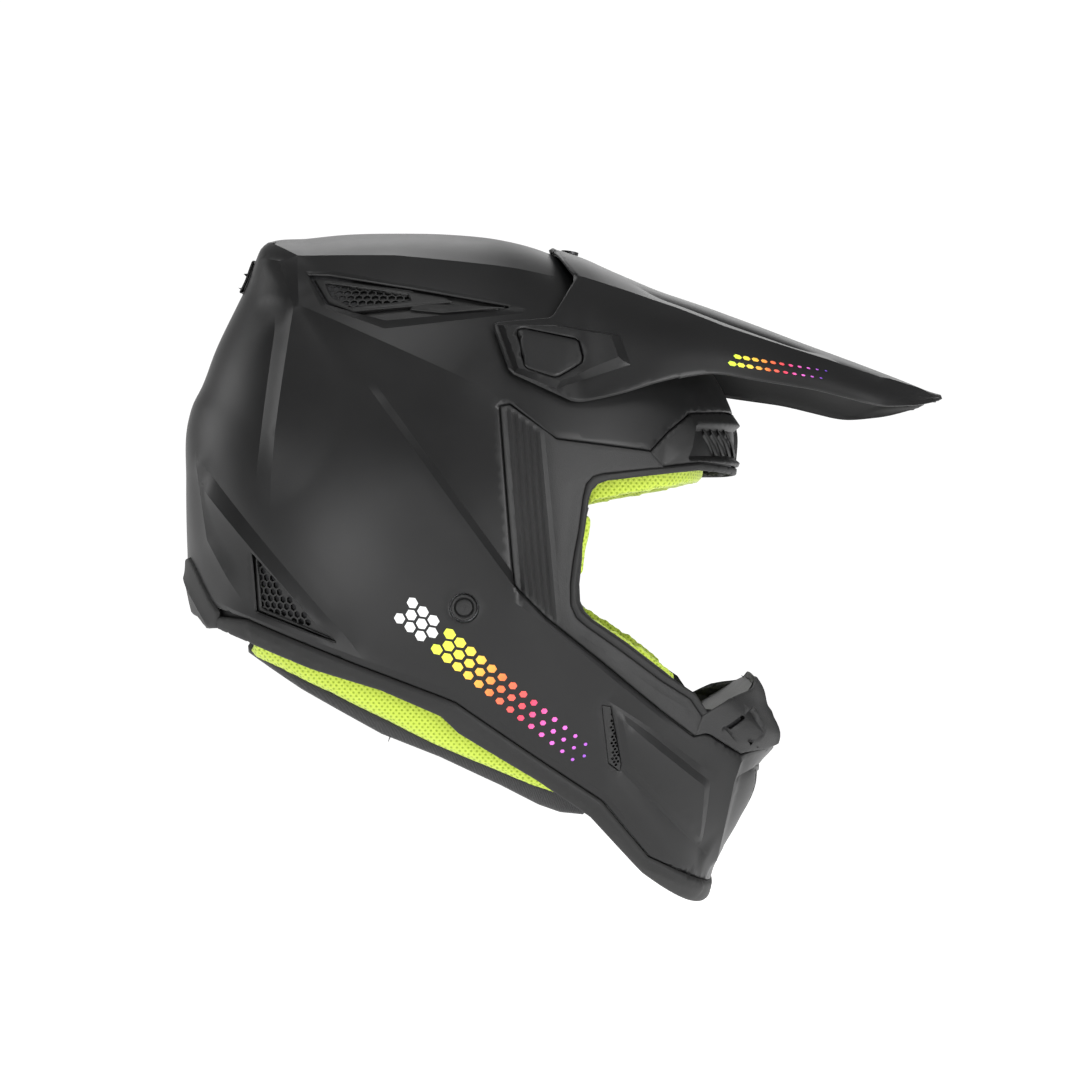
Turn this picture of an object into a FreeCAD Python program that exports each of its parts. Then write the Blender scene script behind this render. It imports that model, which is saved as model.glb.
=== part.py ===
import FreeCAD, Part
import math
import os
import Sketcher
from FreeCAD import Placement, Rotation, Vector

# A motocross helmet, in millimetres, in the attitude in which it is worn.
# The origin is the centre of the head cavity. +X points the way the wearer faces, +Y to the
# wearer's left and +Z up. The helmet is symmetric about the XZ plane, apart from the chin strap.
# Outlines are given in side view as (x, z) points, because every edge of the shell, its openings
# and its trims is drawn that way and then wrapped onto the same curved form.

DIMENSIONS = {
    "shell_half_width": 124.0,
    "shell_wall": 3.6,
    "foam_gap": 0.4,
    "part_gap": 0.3,
    "trim_depth": 1.6,
    "mesh_wall": 1.4,
    "head_half_length": 115.5,
    "head_half_width": 87.0,
    "head_height": 131.7,
    "head_centre_x": -14.5,
    "head_centre_z": 15.0,
    "pad_thickness": 8.5,
    "brow_pad_depth": 17.0,
    "brow_pad_wall": 11.0,
    "pivot_x": 30.0,
    "pivot_z": 110.0,
    "peak_clearance": 2.0,
    "peak_wall": 2.4,
    "boss_height": 4.8,
    "screw_radius": 2.5,
    "screw_head_radius": 4.2,
    "screw_head_height": 1.5,
    "screw_length": 20.0,
    "screw_seat": 2.2,
    "nut_radius": 5.0,
    "nut_length": 7.0,
    "rivet_x": -17.0,
    "rivet_z": -24.0,
    "rivet_radius": 2.5,
    "rivet_cap_radius": 7.0,
    "rivet_cap_height": 2.6,
    "rivet_length": 9.0,
    "cap_stand": 1.0,
    "anchor_width": 24.0,
    "anchor_height": 20.0,
    "anchor_thickness": 1.6,
    "strap_width": 22.0,
    "strap_thickness": 2.0,
    "ring_wire_radius": 2.0,
    "ring_length": 22.0,
    "ring_half_width": 15.0,
    "ring_spacing": 7.0,
    "snap_radius": 6.0,
    "snap_height": 2.6,
    "pad_snap_radius": 4.5,
    "pad_snap_height": 3.0,
}

# Side-view outline of the closed form that every outer surface is taken from.
FORM_OUTLINE = [
    (-180, 50), (-176, 90), (-161, 121), (-147, 150), (-139, 173), (-124, 183), (-87, 188),
    (-29, 188), (0, 184.5), (20, 179), (42, 170.5), (60, 161), (87, 145), (110, 123), (127, 103),
    (137, 64), (142, 0), (146, -60), (149, -110), (148, -133), (127, -170), (119, -194),
    (70, -190), (-43, -152), (-125, -112), (-168, -52), (-180, -5),
]
FORM_CENTRE = (-35.0, 17.5)
FORM_POWER = 2.2
FORM_SECTIONS = (0.15, 0.35, 0.55, 0.72, 0.85, 0.94, 1.0)

# Lower edge of the shell, from the nape to the chin, and lower edge of its rubber trim.
RIM = [
    (-175, 6), (-155, -26), (-135, -31), (-83, -52), (-30, -72), (-22, -75), (13, -100),
    (57, -130), (83, -163), (116, -180),
]
RIM_TRIM = [
    (-158, -37), (-139, -43), (-100, -58), (-62, -69), (-30, -83), (-21, -92), (21, -118),
    (50, -139), (79, -172), (119, -194),
]
COLLAR = [(-190, 5), (-175, 5), (-155.5, -27), (-152, -27.5), (-150, -40), (-166, -39), (-190, -20)]

# Opening for the eyes and goggles, and the inner line of its rubber trim.
EYEPORT = [
    (200, 52), (132, 52), (111, 54), (83, 50.5), (55, 47), (46, 44.5), (44, 17), (39.7, 1),
    (39.2, -23), (44.5, -31), (66, -47), (88, -64), (106, -74), (126, -78), (200, -78),
]
EYEPORT_INNER = [
    (200, 48), (132, 48), (111, 49.5), (83, 46.5), (58, 43.5), (49, 40), (47, 17), (43.2, 1),
    (43, -22), (48, -28.5), (68, -43), (90, -60), (107, -70), (127, -74), (200, -74),
]

SIDE_TRIM = [
    (2, 83), (7, 84), (32, 65), (82, 59), (82, 51), (55, 47.4), (45.6, 45), (43.6, 17), (39.3, 1),
    (38.8, -23), (44.3, -31.5), (65.8, -47.6), (87.8, -64.6), (105.5, -74.6), (104.5, -86),
    (82, -74), (55, -52), (26, -29), (9.5, -12),
]
BROW = [
    (83, 51.5), (83, 59.5), (93, 70), (106, 81), (126, 83), (160, 83), (160, 52.6), (132, 52.6),
    (111, 54.6),
]
LOUVRES = [(103, 58), (107, 65), (108.5, 74), (160, 77), (160, 57)]

UPPER_VENT = [(-104, 157), (-92, 157), (-15, 142), (7, 139), (-60, 132.5), (-93, 139.5)]
UPPER_FRAME = [
    (-99.5, 153.5), (-95, 153.5), (-48, 145.3), (-27, 141.5), (-28, 139.6), (-74, 137),
    (-91, 142.8),
]
UPPER_MESH = [(-93.5, 152), (-48.5, 145), (-47.5, 142.2), (-80, 138.5), (-89.5, 145)]
LOWER_VENT = [(-131.7, 5), (-86, -43), (-130.4, -27)]
LOWER_MESH = [(-128.8, -3), (-99.5, -33), (-127, -24)]
CHIN_VENT = [(56.5, -77), (61.5, -78), (67.4, -110), (66.7, -114), (60.2, -109)]

# The mouthpiece in side view and, from above, its half plan.
MOUTH_SIDE = [
    (108, -84), (143, -66), (147, -68.5), (151, -74), (155, -85), (161, -100), (159, -104),
    (150, -117), (135, -110), (108, -99),
]
MOUTH_INSIDE = [
    (100, -76), (143, -58), (150, -79), (155.5, -98), (147, -111.5), (136, -106), (100, -94),
]
MOUTH_PLAN = [(100, 70), (120, 61), (140, 44), (158, 22), (163, 14)]

# The peak: its saddle over the shell in side view, and cross-sections of its brim as
# (x, height at the centre, height at the edge, half width, thickness).
PEAK_SADDLE = [
    (24, 200), (26, 172), (41, 152), (29, 132), (-1, 128.5), (3, 114), (7, 101.5), (16, 96),
    (45, 85.5), (70, 90), (78, 94), (78, 200),
]
PEAK_BRIM = [
    (66, 164.0, 92, 106, 2.4), (84, 158.0, 97, 101, 2.5), (107, 149.6, 102, 94, 2.6),
    (150, 132.5, 98, 86, 2.6), (200, 113.5, 91, 81, 2.6), (226, 103, 87, 75, 2.4),
    (247, 92, 89, 42, 2.0),
]
BRIM_POWER = 2.3
PEAK_BOSS = [(1, 126), (31, 128), (67, 122), (72, 106), (32, 92.5), (9, 101)]
PEAK_CAP = [(10.5, 122.5), (42, 117), (45, 106), (30, 97.5), (14, 102.5)]
CENTRE_SCREW = (40.0, 175.0)
PEAK_TILT_UP = 3.0
PEAK_TILT_DOWN = 3.0

# Padding.
LINER_ZONE = [
    (-220, 220), (220, 220), (220, 66), (84, 66), (38, 52), (31, 30), (29, -6), (-63, -6),
    (-63, -48), (-83, -40), (-135, -19), (-152, -13), (-171, 14), (-220, 14),
]
BROW_PAD = [
    (44, 46), (46.5, 30), (58, 33), (78, 36.5), (93, 39.5), (103, 43), (111, 46), (125, 46.5),
    (160, 46.5), (160, 64), (84, 64.5), (50, 54),
]
CHEEK_PAD = [
    (42, 26), (47, 24), (46.5, 0), (46.5, -22), (52, -30), (72, -46), (91, -61), (84, -76),
    (58, -104), (20, -84), (-8, -66), (-60, -48), (-60, -8), (26, -8), (28, 26),
]
CHEEK_BASE = [
    (26, -9), (36, -9), (35.5, -25), (42, -35), (63, -51), (84, -67), (78, -88), (56, -108),
    (24, -88), (8, -76), (8, -44), (-42, -44), (-42, -54), (-60, -46), (-60, -9),
]
NECK_ROLL = [
    (-150, -20), (-132, -23), (-83, -43), (-30, -62), (-20, -67), (13, -91), (44, -112),
    (50, -140), (26, -132.5), (1.5, -120.5), (-21, -109), (-63, -89), (-104, -68), (-133, -50.5),
    (-150, -42),
]
CHIN_FOAM = [
    (100, -80), (139, -82), (142, -112), (138, -133), (121, -164), (88, -158), (72, -130),
    (88, -96),
]

# Chin strap rings: the bar that the strap is sewn round, and the height of the upper ring.
RING_BAR_Y = 52.0
RING_Z = -95.0

FAR = 200.0


# ---------------------------------------------------------------- document and helpers

doc = FreeCAD.newDocument("motocross_helmet")
sheet = doc.addObject("Spreadsheet::Sheet", "dims")
for row, (alias, value) in enumerate(DIMENSIONS.items(), start=1):
    sheet.set(f"A{row}", alias)
    sheet.set(f"B{row}", str(value))
    sheet.setAlias(f"B{row}", alias)
doc.recompute()

sub_parts = []
forms = {}


def dim(name):
    """A driving dimension, read from the sheet."""
    return float(sheet.get(name))


def form(inset):
    """The closed outer form, moved inwards by inset (outwards if it is negative)."""
    if inset in forms:
        return forms[inset]
    half_width = dim("shell_half_width") - inset
    levels = [(t, -1) for t in FORM_SECTIONS] + [(t, 1) for t in FORM_SECTIONS[-2::-1]]
    wires = []
    for t, side in levels:
        y = side * half_width * (1 - t ** FORM_POWER) ** (1 / FORM_POWER)
        points = []
        for x, z in FORM_OUTLINE:
            dx, dz = x - FORM_CENTRE[0], z - FORM_CENTRE[1]
            k = t * (1 - inset / math.hypot(dx, dz))
            points.append(Vector(FORM_CENTRE[0] + dx * k, y, FORM_CENTRE[1] + dz * k))
        curve = Part.BSplineCurve()
        curve.interpolate(Points=points, PeriodicFlag=True)
        wires.append(Part.Wire([curve.toShape()]))
    forms[inset] = Part.makeLoft(wires, True, False)
    return forms[inset]


def side_prism(outline, y_low=-FAR, y_high=FAR, grow=0.0):
    """A straight prism along Y over a side-view outline, which may be offset by grow."""
    points = [Vector(x, y_low, z) for x, z in outline]
    wire = Part.makePolygon(points + points[:1])
    if grow:
        wire = wire.makeOffset2D(grow, 2)
    return Part.Face(wire).extrude(Vector(0, y_high - y_low, 0))


def plan_prism(half_plan, shrink=0.0):
    """A straight prism along Z over a plan that is symmetric about the X axis."""
    right = [Vector(x - shrink, -(y - shrink), -FAR) for x, y in half_plan]
    left = [Vector(p.x, -p.y, p.z) for p in reversed(right)]
    face = Part.Face(Part.makePolygon(right + left + right[:1]))
    return face.extrude(Vector(0, 0, 2 * FAR))


def box(low, high):
    """A box between two corners."""
    size = [b - a for a, b in zip(low, high)]
    return Part.makeBox(*size, Vector(*low))


def skin(outline, outer, inner, y_low=-FAR, y_high=FAR, grow=0.0):
    """The part of the wall between two insets of the form that lies behind an outline."""
    return side_prism(outline, y_low, y_high, grow).common(form(outer)).cut(form(inner))


def mirrored(shape):
    """The same shape on the wearer's other side."""
    return shape.mirror(Vector(0, 0, 0), Vector(0, 1, 0))


def surface_y(x, z, inset=0.0):
    """Half width of the form at a point of the side view."""
    ray = Part.makeLine(Vector(x, 0, z), Vector(x, FAR, z)).common(form(inset))
    return max(v.Y for v in ray.Vertexes)


def along_y(radius, x, z, y_start, y_end):
    """A cylinder along Y."""
    low, high = min(y_start, y_end), max(y_start, y_end)
    return Part.makeCylinder(radius, high - low, Vector(x, low, z), Vector(0, 1, 0))


def hexagons(outline, pitch, size, y_low, y_high):
    """Hexagonal prisms along Y that fill the side-view box of an outline, as one compound."""
    xs = [x for x, z in outline]
    zs = [z for x, z in outline]
    cells = []
    rows = int((max(zs) - min(zs)) / (pitch * 0.866)) + 1
    columns = int((max(xs) - min(xs)) / pitch) + 1
    for i in range(rows):
        for j in range(columns):
            x = min(xs) + (j + 0.5 * (i % 2)) * pitch
            z = min(zs) + i * pitch * 0.866
            corners = [
                (x + size * math.cos(math.radians(30 + 60 * k)),
                 z + size * math.sin(math.radians(30 + 60 * k))) for k in range(6)
            ]
            cells.append(side_prism(corners, y_low, y_high))
    return Part.makeCompound(cells)


def rounded_path(points, radii):
    """A wire of straight runs joined by tangent arcs of the given radii."""
    edges = []
    start = points[0]
    for i in range(1, len(points) - 1):
        before = (points[i - 1] - points[i]).normalize()
        after = (points[i + 1] - points[i]).normalize()
        turn = math.pi - before.getAngle(after)
        back = radii[i - 1] * math.tan(turn / 2)
        first, last = points[i] + before * back, points[i] + after * back
        inward = (before + after).normalize()
        middle = points[i] + inward * (radii[i - 1] / math.cos(turn / 2) - radii[i - 1])
        edges.append(Part.LineSegment(start, first).toShape())
        edges.append(Part.Arc(first, middle, last).toShape())
        start = last
    edges.append(Part.LineSegment(start, points[-1]).toShape())
    return Part.Wire(edges)


def webbing(points, radii):
    """A flat strap that follows (y, z) points, with its width along X."""
    x = dim("rivet_x")
    path = rounded_path([Vector(x, y, z) for y, z in points], radii)
    start, after = path.Edges[0].Vertexes[0].Point, path.Edges[0].Vertexes[1].Point
    along = (after - start).normalize()
    across = Vector(1, 0, 0)
    normal = along.cross(across)
    half, thick = dim("strap_width") / 2, dim("strap_thickness") / 2
    corners = [start + across * (half * a) + normal * (thick * b)
               for a, b in ((-1, -1), (1, -1), (1, 1), (-1, 1))]
    profile = Part.makePolygon(corners + corners[:1])
    return path.makePipeShell([profile], True, False)


def add(label, shape):
    """Store a computed solid as a sub-part of the document."""
    part = doc.addObject("Part::Feature", label)
    part.Label = label
    part.Shape = shape
    part.Placement = Placement()
    sub_parts.append(part)


def add_pair(name, right_shape):
    """Store a right-hand solid and its left-hand mirror image."""
    add(name + "_right", right_shape)
    add(name + "_left", mirrored(right_shape))


def cylinder(name, radius, height, x, y, z, direction):
    """A parametric cylinder whose axis leaves (x, y, z) along +Y or -Y."""
    item = doc.addObject("Part::Cylinder", name)
    item.setExpression("Radius", radius)
    item.setExpression("Height", height)
    item.Placement = Placement(Vector(x, y, z), Rotation(Vector(1, 0, 0), -90 * direction))
    return item


def boolean(kind, label, base, tool):
    """A parametric fusion or cut of two objects."""
    item = doc.addObject("Part::" + kind, label)
    item.Label = label
    item.Base = base
    item.Tool = tool
    return item


# ---------------------------------------------------------------- places on the form

gap = dim("part_gap")
wall = dim("shell_wall")
trim = dim("trim_depth")
pivot = (dim("pivot_x"), dim("pivot_z"))
rivet = (dim("rivet_x"), dim("rivet_z"))
foam = wall + dim("foam_gap")
pivot_y = surface_y(*pivot)
rivet_y = surface_y(*rivet)
seat_y = pivot_y + 4.4


def head_solid(inset):
    """The space for the head: a half ellipsoid on top of an elliptic cylinder."""
    length = dim("head_half_length") - inset
    width = dim("head_half_width") - inset
    height = dim("head_height") - inset
    stretch = FreeCAD.Matrix()
    stretch.A11, stretch.A22, stretch.A33 = length, width, height
    dome = Part.makeSphere(1).transformGeometry(stretch)
    stretch.A33 = 1.0
    tube = Part.makeCylinder(1, FAR, Vector(0, 0, -FAR)).transformGeometry(stretch)
    place = Vector(dim("head_centre_x"), 0, dim("head_centre_z"))
    dome.translate(place)
    tube.translate(place)
    return dome, tube


# ---------------------------------------------------------------- shell

def make_outer_shell():
    """The shell wall, with pockets for the trims, vent openings and the fasteners' holes."""
    below_rim = RIM + [(210, -190), (210, -260), (-230, -260), (-230, 6)]
    shell = form(0.0).cut(form(wall))
    shell = shell.cut(side_prism(EYEPORT)).cut(side_prism(below_rim))
    for outline in (SIDE_TRIM, BROW, UPPER_VENT, LOWER_VENT, CHIN_VENT):
        pocket = side_prism(outline, grow=gap).cut(form(trim + gap))
        shell = shell.cut(pocket)
    for outline in (UPPER_MESH, LOWER_MESH, LOUVRES):
        shell = shell.cut(side_prism(outline, grow=gap))
    shell = shell.cut(box((105, -26, -114), (190, 26, -70)))
    shell = shell.cut(box((105, -20, -160), (190, 20, -124)))
    shell = shell.cut(box((-170, -24, 152), (-120, 24, 172)))
    for side in (-1, 1):
        shell = shell.cut(along_y(dim("screw_radius") + 0.1, *pivot, side * 80, side * 130))
        shell = shell.cut(along_y(dim("rivet_radius") + 0.1, *rivet, side * 90, side * 130))
        cap_seat = rivet_y - dim("rivet_cap_height") + dim("cap_stand") - 0.1
        shell = shell.cut(
            along_y(dim("rivet_cap_radius") + gap, *rivet, side * cap_seat, side * 130))
    add("outer_shell", shell.cut(peak_slot_tool(dim("screw_radius") + 0.5, 0, 0)))


def peak_slot_tool(half_width, degrees_back, degrees_forward, r_low=30.0, r_high=90.0):
    """A wedge about the peak's pivot, round which the centre screw's slot runs."""
    centre = math.degrees(math.atan2(CENTRE_SCREW[1] - pivot[1], CENTRE_SCREW[0] - pivot[0]))
    spread = math.degrees(half_width / 66.0)
    angles = (centre + degrees_back + spread, centre - degrees_forward - spread)
    corners = []
    for radius, pair in ((r_low, angles), (r_high, angles[::-1])):
        for angle in pair:
            a = math.radians(angle)
            corners.append((pivot[0] + radius * math.cos(a), pivot[1] + radius * math.sin(a)))
    return side_prism(corners, -half_width, half_width)


def make_shell_trims():
    """Everything that edges the shell: side panels, brow, gaskets and the collar at the nape."""
    add_pair("side_trim", skin(SIDE_TRIM, 0.0, trim, y_high=0))
    brow = skin(BROW, -1.4, trim).cut(side_prism(LOUVRES))
    add("brow_vent_housing", brow)
    louvres = skin(LOUVRES, 0.8, wall - 0.2, grow=-gap)
    for x in (104, 112, 120, 128):
        slot = side_prism([(x, 54), (x + 4.5, 54), (x + 10.5, 80), (x + 6, 80)])
        louvres = louvres.cut(slot.common(box((0, -FAR, 60), (160, FAR, 73.2))))
    add("brow_vent_louvres", louvres)
    ring = side_prism(EYEPORT).cut(side_prism(EYEPORT_INNER))
    ring = ring.common(form(-0.6)).cut(form(wall + 0.8)).cut(mouth_block())
    add("eyeport_gasket", ring)
    strip = [(x, z - 0.2) for x, z in RIM[1:]] + RIM_TRIM[::-1]
    base = skin(strip, -0.6, wall + 0.8).cut(box((-230, -FAR, -60), (-149.5, FAR, 20)))
    add("base_gasket", base)
    add("rear_collar", skin(COLLAR, -3.2, wall + 0.8))


def make_vents():
    """Vent frames, perforated plates, the chin's side strips and the exhaust at the back."""
    mesh_low, mesh_high = trim + gap, trim + gap + dim("mesh_wall")
    frame = skin(UPPER_FRAME, 0.5, trim, y_high=0).cut(side_prism(UPPER_MESH))
    add_pair("upper_vent_frame", frame)
    for name, outline, pitch, size in (("upper_vent_mesh", UPPER_MESH, 5.0, 2.35),
                                       ("lower_vent_mesh", LOWER_MESH, 4.8, 1.7)):
        plate = skin(outline, mesh_low, mesh_high, y_high=0, grow=-gap)
        inside = side_prism(outline, -FAR, 0, grow=-1.2)
        plate = plate.cut(hexagons(outline, pitch, size, -FAR, 0).common(inside))
        add_pair(name, plate)
    strip = skin(CHIN_VENT, 0.9, trim, y_high=0, grow=-gap)
    for i in range(5):
        z = -84.0 - 5.2 * i
        strip = strip.cut(box((61.0 + i, -FAR, z - 3.2), (64.6 + i, 0, z)))
    add_pair("chin_side_grille", strip)
    outline = [(-170, 152.3), (-120, 152.3), (-120, 171.7), (-170, 171.7)]
    vent = skin(outline, -2.4, wall, -23.7, 23.7)
    for y in (-18, -6, 6):
        vent = vent.cut(box((-170, y, 156), (-120, y + 9, 168)))
    add("rear_exhaust_vent", vent)


def mouth_block():
    """The whole snout of the mouthpiece, before it is hollowed."""
    return side_prism(MOUTH_SIDE).common(plan_prism(MOUTH_PLAN))


def make_chin():
    """The mouthpiece with its slotted insert, and the honeycomb grille below it."""
    body = mouth_block()
    body = body.cut(side_prism(MOUTH_INSIDE).common(plan_prism(MOUTH_PLAN, 3.0)))
    under = [(90, -74.3), (170, -79.3), (170, -130), (90, -130)]
    body = body.cut(side_prism(under).common(form(-gap)))
    add("mouthpiece", body)
    insert = box((126, -25.6, -112), (129, 25.6, -82))
    for i in range(5):
        y = -21.5 + 9.0 * i
        insert = insert.cut(box((125, y, -109), (130, y + 6.5, -85)))
    add("mouth_vent_insert", insert)
    frame = [(100, -159.7), (190, -159.7), (190, -124.3), (100, -124.3)]
    grille = skin(frame, 0.8, wall - 0.6, -19.7, 19.7).common(box((110, -20, -160), (190, 20, -124)))
    for row in range(7):
        for column in range(6):
            y = -14.0 + 5.4 * column + 2.7 * (row % 2)
            z = -155.0 + 4.7 * row
            cell = [Vector(100, y + 2.4 * math.cos(math.radians(60 * k + 30)),
                           z + 2.4 * math.sin(math.radians(60 * k + 30))) for k in range(6)]
            prism = Part.Face(Part.makePolygon(cell + cell[:1])).extrude(Vector(90, 0, 0))
            if abs(y) < 17:
                grille = grille.cut(prism)
    add("chin_grille", grille)


# ---------------------------------------------------------------- peak

def brim_section(x, centre, edge, half_width, thickness):
    """A closed arched band at one distance along the brim."""
    rows = []
    for drop in (0.0, thickness):
        points = []
        for i in range(-6, 7):
            angle = math.radians(15 * i)
            y = (half_width - 0.4 * drop) * math.copysign(abs(math.sin(angle)) ** 0.85, angle)
            rise = (1 - abs(y / half_width) ** BRIM_POWER) ** (1 / BRIM_POWER)
            points.append(Vector(x, y, edge + (centre - edge) * rise - drop))
        curve = Part.BSplineCurve()
        curve.interpolate(points)
        rows.append(curve.toShape())
    ends = [[r.valueAt(r.FirstParameter), r.valueAt(r.LastParameter)] for r in rows]
    sides = [Part.LineSegment(ends[0][k], ends[1][k]).toShape() for k in (0, 1)]
    return Part.Wire(Part.__sortEdges__([rows[0], sides[1], rows[1], sides[0]]))


def make_peak():
    """The peak: a saddle that wraps the shell, an arched brim and a boss over each pivot."""
    near = dim("peak_clearance")
    outer = near + dim("peak_wall")
    top = outer + dim("boss_height")
    saddle = skin(PEAK_SADDLE, -outer, -near)
    brim = Part.makeLoft([brim_section(*row) for row in PEAK_BRIM], True, True)
    peak = saddle.fuse(brim)
    for side, low, high in ((-1, -FAR, 0), (1, 0, FAR)):
        peak = peak.fuse(skin(PEAK_BOSS, -top, -(outer - 0.5), low, high))
    for side, low, high in ((-1, -FAR, 0), (1, 0, FAR)):
        pocket = side_prism(PEAK_CAP, low, high, grow=0.2)
        pocket = pocket.cut(form(-(top - 1.4)))
        well = along_y(dim("screw_head_radius") + gap, *pivot, side * seat_y, side * 130)
        hole = along_y(dim("screw_radius") + 0.05, *pivot, side * 90, side * 130)
        peak = peak.cut(pocket).cut(well).cut(hole)
    slot = peak_slot_tool(dim("screw_radius") + gap, PEAK_TILT_UP, PEAK_TILT_DOWN)
    head_room = dim("screw_head_radius") + 0.8 + gap
    seat_radius = math.hypot(CENTRE_SCREW[0] - pivot[0], CENTRE_SCREW[1] - pivot[1])
    seat_radius += dim("screw_seat") - 0.15
    recess = peak_slot_tool(head_room, PEAK_TILT_UP, PEAK_TILT_DOWN, r_low=seat_radius)
    add("peak_shell", peak.cut(slot).cut(recess))
    cap = skin(PEAK_CAP, -(top + 0.2), -(top - 1.2), y_high=0)
    add_pair("peak_cap", cap)


def make_fasteners():
    """Screws, rivets and their inserts, on both sides of the shell."""
    x, z = pivot
    for side, word in ((-1, "right"), (1, "left")):
        head_y = seat_y + 0.2
        head = cylinder("peak_screw_head_" + word, "dims.screw_head_radius",
                        "dims.screw_head_height", x, side * head_y, z, side)
        shank = cylinder("peak_screw_shank_" + word, "dims.screw_radius",
                         "dims.screw_length", x, side * (head_y + 0.2), z, -side)
        sub_parts.append(boolean("Fuse", "peak_screw_" + word, head, shank))
        start = pivot_y - foam - 3.6
        nut = cylinder("peak_nut_body_" + word, "dims.nut_radius", "dims.nut_length",
                       x, side * start, z, -side)
        bore = cylinder("peak_nut_bore_" + word, "dims.screw_radius + 0.05",
                        "dims.nut_length + 2", x, side * (start + 1), z, -side)
        sub_parts.append(boolean("Cut", "peak_nut_" + word, nut, bore))
    outward = Vector(CENTRE_SCREW[0] - x, 0, CENTRE_SCREW[1] - z).normalize()
    turn = Rotation(Vector(0, 0, 1), outward)
    seat = Vector(CENTRE_SCREW[0], 0, CENTRE_SCREW[1]) + outward * dim("screw_seat")
    head = doc.addObject("Part::Cylinder", "peak_centre_screw_head")
    head.setExpression("Radius", "dims.screw_head_radius + 0.8")
    head.setExpression("Height", "dims.screw_head_height")
    head.Placement = Placement(seat, turn)
    shank = doc.addObject("Part::Cylinder", "peak_centre_screw_shank")
    shank.setExpression("Radius", "dims.screw_radius")
    shank.setExpression("Height", "dims.screw_length")
    shank.Placement = Placement(seat + outward * (0.2 - dim("screw_length")), turn)
    sub_parts.append(boolean("Fuse", "peak_centre_screw", head, shank))
    nut = doc.addObject("Part::Cylinder", "peak_centre_nut_body")
    nut.setExpression("Radius", "dims.nut_radius")
    nut.setExpression("Height", "dims.nut_length")
    nut.Placement = Placement(seat - outward * (14.6 + dim("nut_length")), turn)
    bore = doc.addObject("Part::Cylinder", "peak_centre_nut_bore")
    bore.setExpression("Radius", "dims.screw_radius + 0.05")
    bore.setExpression("Height", "dims.nut_length + 2")
    bore.Placement = Placement(seat - outward * (15.6 + dim("nut_length")), turn)
    sub_parts.append(boolean("Cut", "peak_centre_nut", nut, bore))
    x, z = rivet
    for side, word in ((-1, "right"), (1, "left")):
        cap_y = rivet_y - dim("rivet_cap_height") + dim("cap_stand")
        cap = cylinder("rivet_cap_body_" + word, "dims.rivet_cap_radius",
                       "dims.rivet_cap_height", x, side * cap_y, z, side)
        dish = cylinder("rivet_cap_dish_" + word, "dims.rivet_cap_radius - 2", "1",
                        x, side * (cap_y + dim("rivet_cap_height") - 0.8), z, side)
        sub_parts.append(boolean("Cut", "rivet_cap_" + word, cap, dish))
        shank = cylinder("strap_rivet_" + word, "dims.rivet_radius", "dims.rivet_length",
                         x, side * (cap_y - 0.1), z, -side)
        sub_parts.append(shank)


def anchor_plate(word, side):
    """A steel plate riveted inside the shell, over the end of the strap."""
    body = doc.addObject("PartDesign::Body", "strap_anchor_plate_" + word)
    plane = [f for f in body.Origin.OriginFeatures if f.Role == "XZ_Plane"][0]
    outline = body.newObject("Sketcher::SketchObject", "plate_outline_" + word)
    outline.AttachmentSupport = [(plane, "")]
    outline.MapMode = "FlatFace"
    rectangle(outline, dim("anchor_width"), dim("anchor_height"))
    pad = body.newObject("PartDesign::Pad", "plate_" + word)
    pad.Profile = outline
    pad.setExpression("Length", "dims.anchor_thickness")
    holes = body.newObject("Sketcher::SketchObject", "plate_holes_" + word)
    holes.AttachmentSupport = [(plane, "")]
    holes.MapMode = "FlatFace"
    holes.addGeometry(Part.Circle(Vector(0, 0, 0), Vector(0, 0, 1), 1.0), False)
    holes.addConstraint(Sketcher.Constraint("Coincident", 0, 3, -1, 1))
    bore_radius = dim("rivet_radius") + 0.1
    radius = holes.addConstraint(Sketcher.Constraint("Radius", 0, bore_radius))
    holes.setExpression(f"Constraints[{radius}]", "dims.rivet_radius + 0.1")
    pocket = body.newObject("PartDesign::Pocket", "plate_bore_" + word)
    pocket.Profile = holes
    pocket.Type = 1
    pocket.Midplane = True
    body.Tip = pocket
    middle = side * (rivet_y - wall - 2.8)
    face = middle + dim("anchor_thickness") / 2
    body.Placement = Placement(Vector(rivet[0], face, rivet[1]), Rotation())
    sub_parts.append(body)


def rectangle(sketch, width, height):
    """A closed rectangle centred on the sketch's origin."""
    corners = [Vector(a * width / 2, b * height / 2, 0)
               for a, b in ((-1, -1), (1, -1), (1, 1), (-1, 1))]
    for i in range(4):
        sketch.addGeometry(Part.LineSegment(corners[i], corners[(i + 1) % 4]), False)


# ---------------------------------------------------------------- padding

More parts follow.
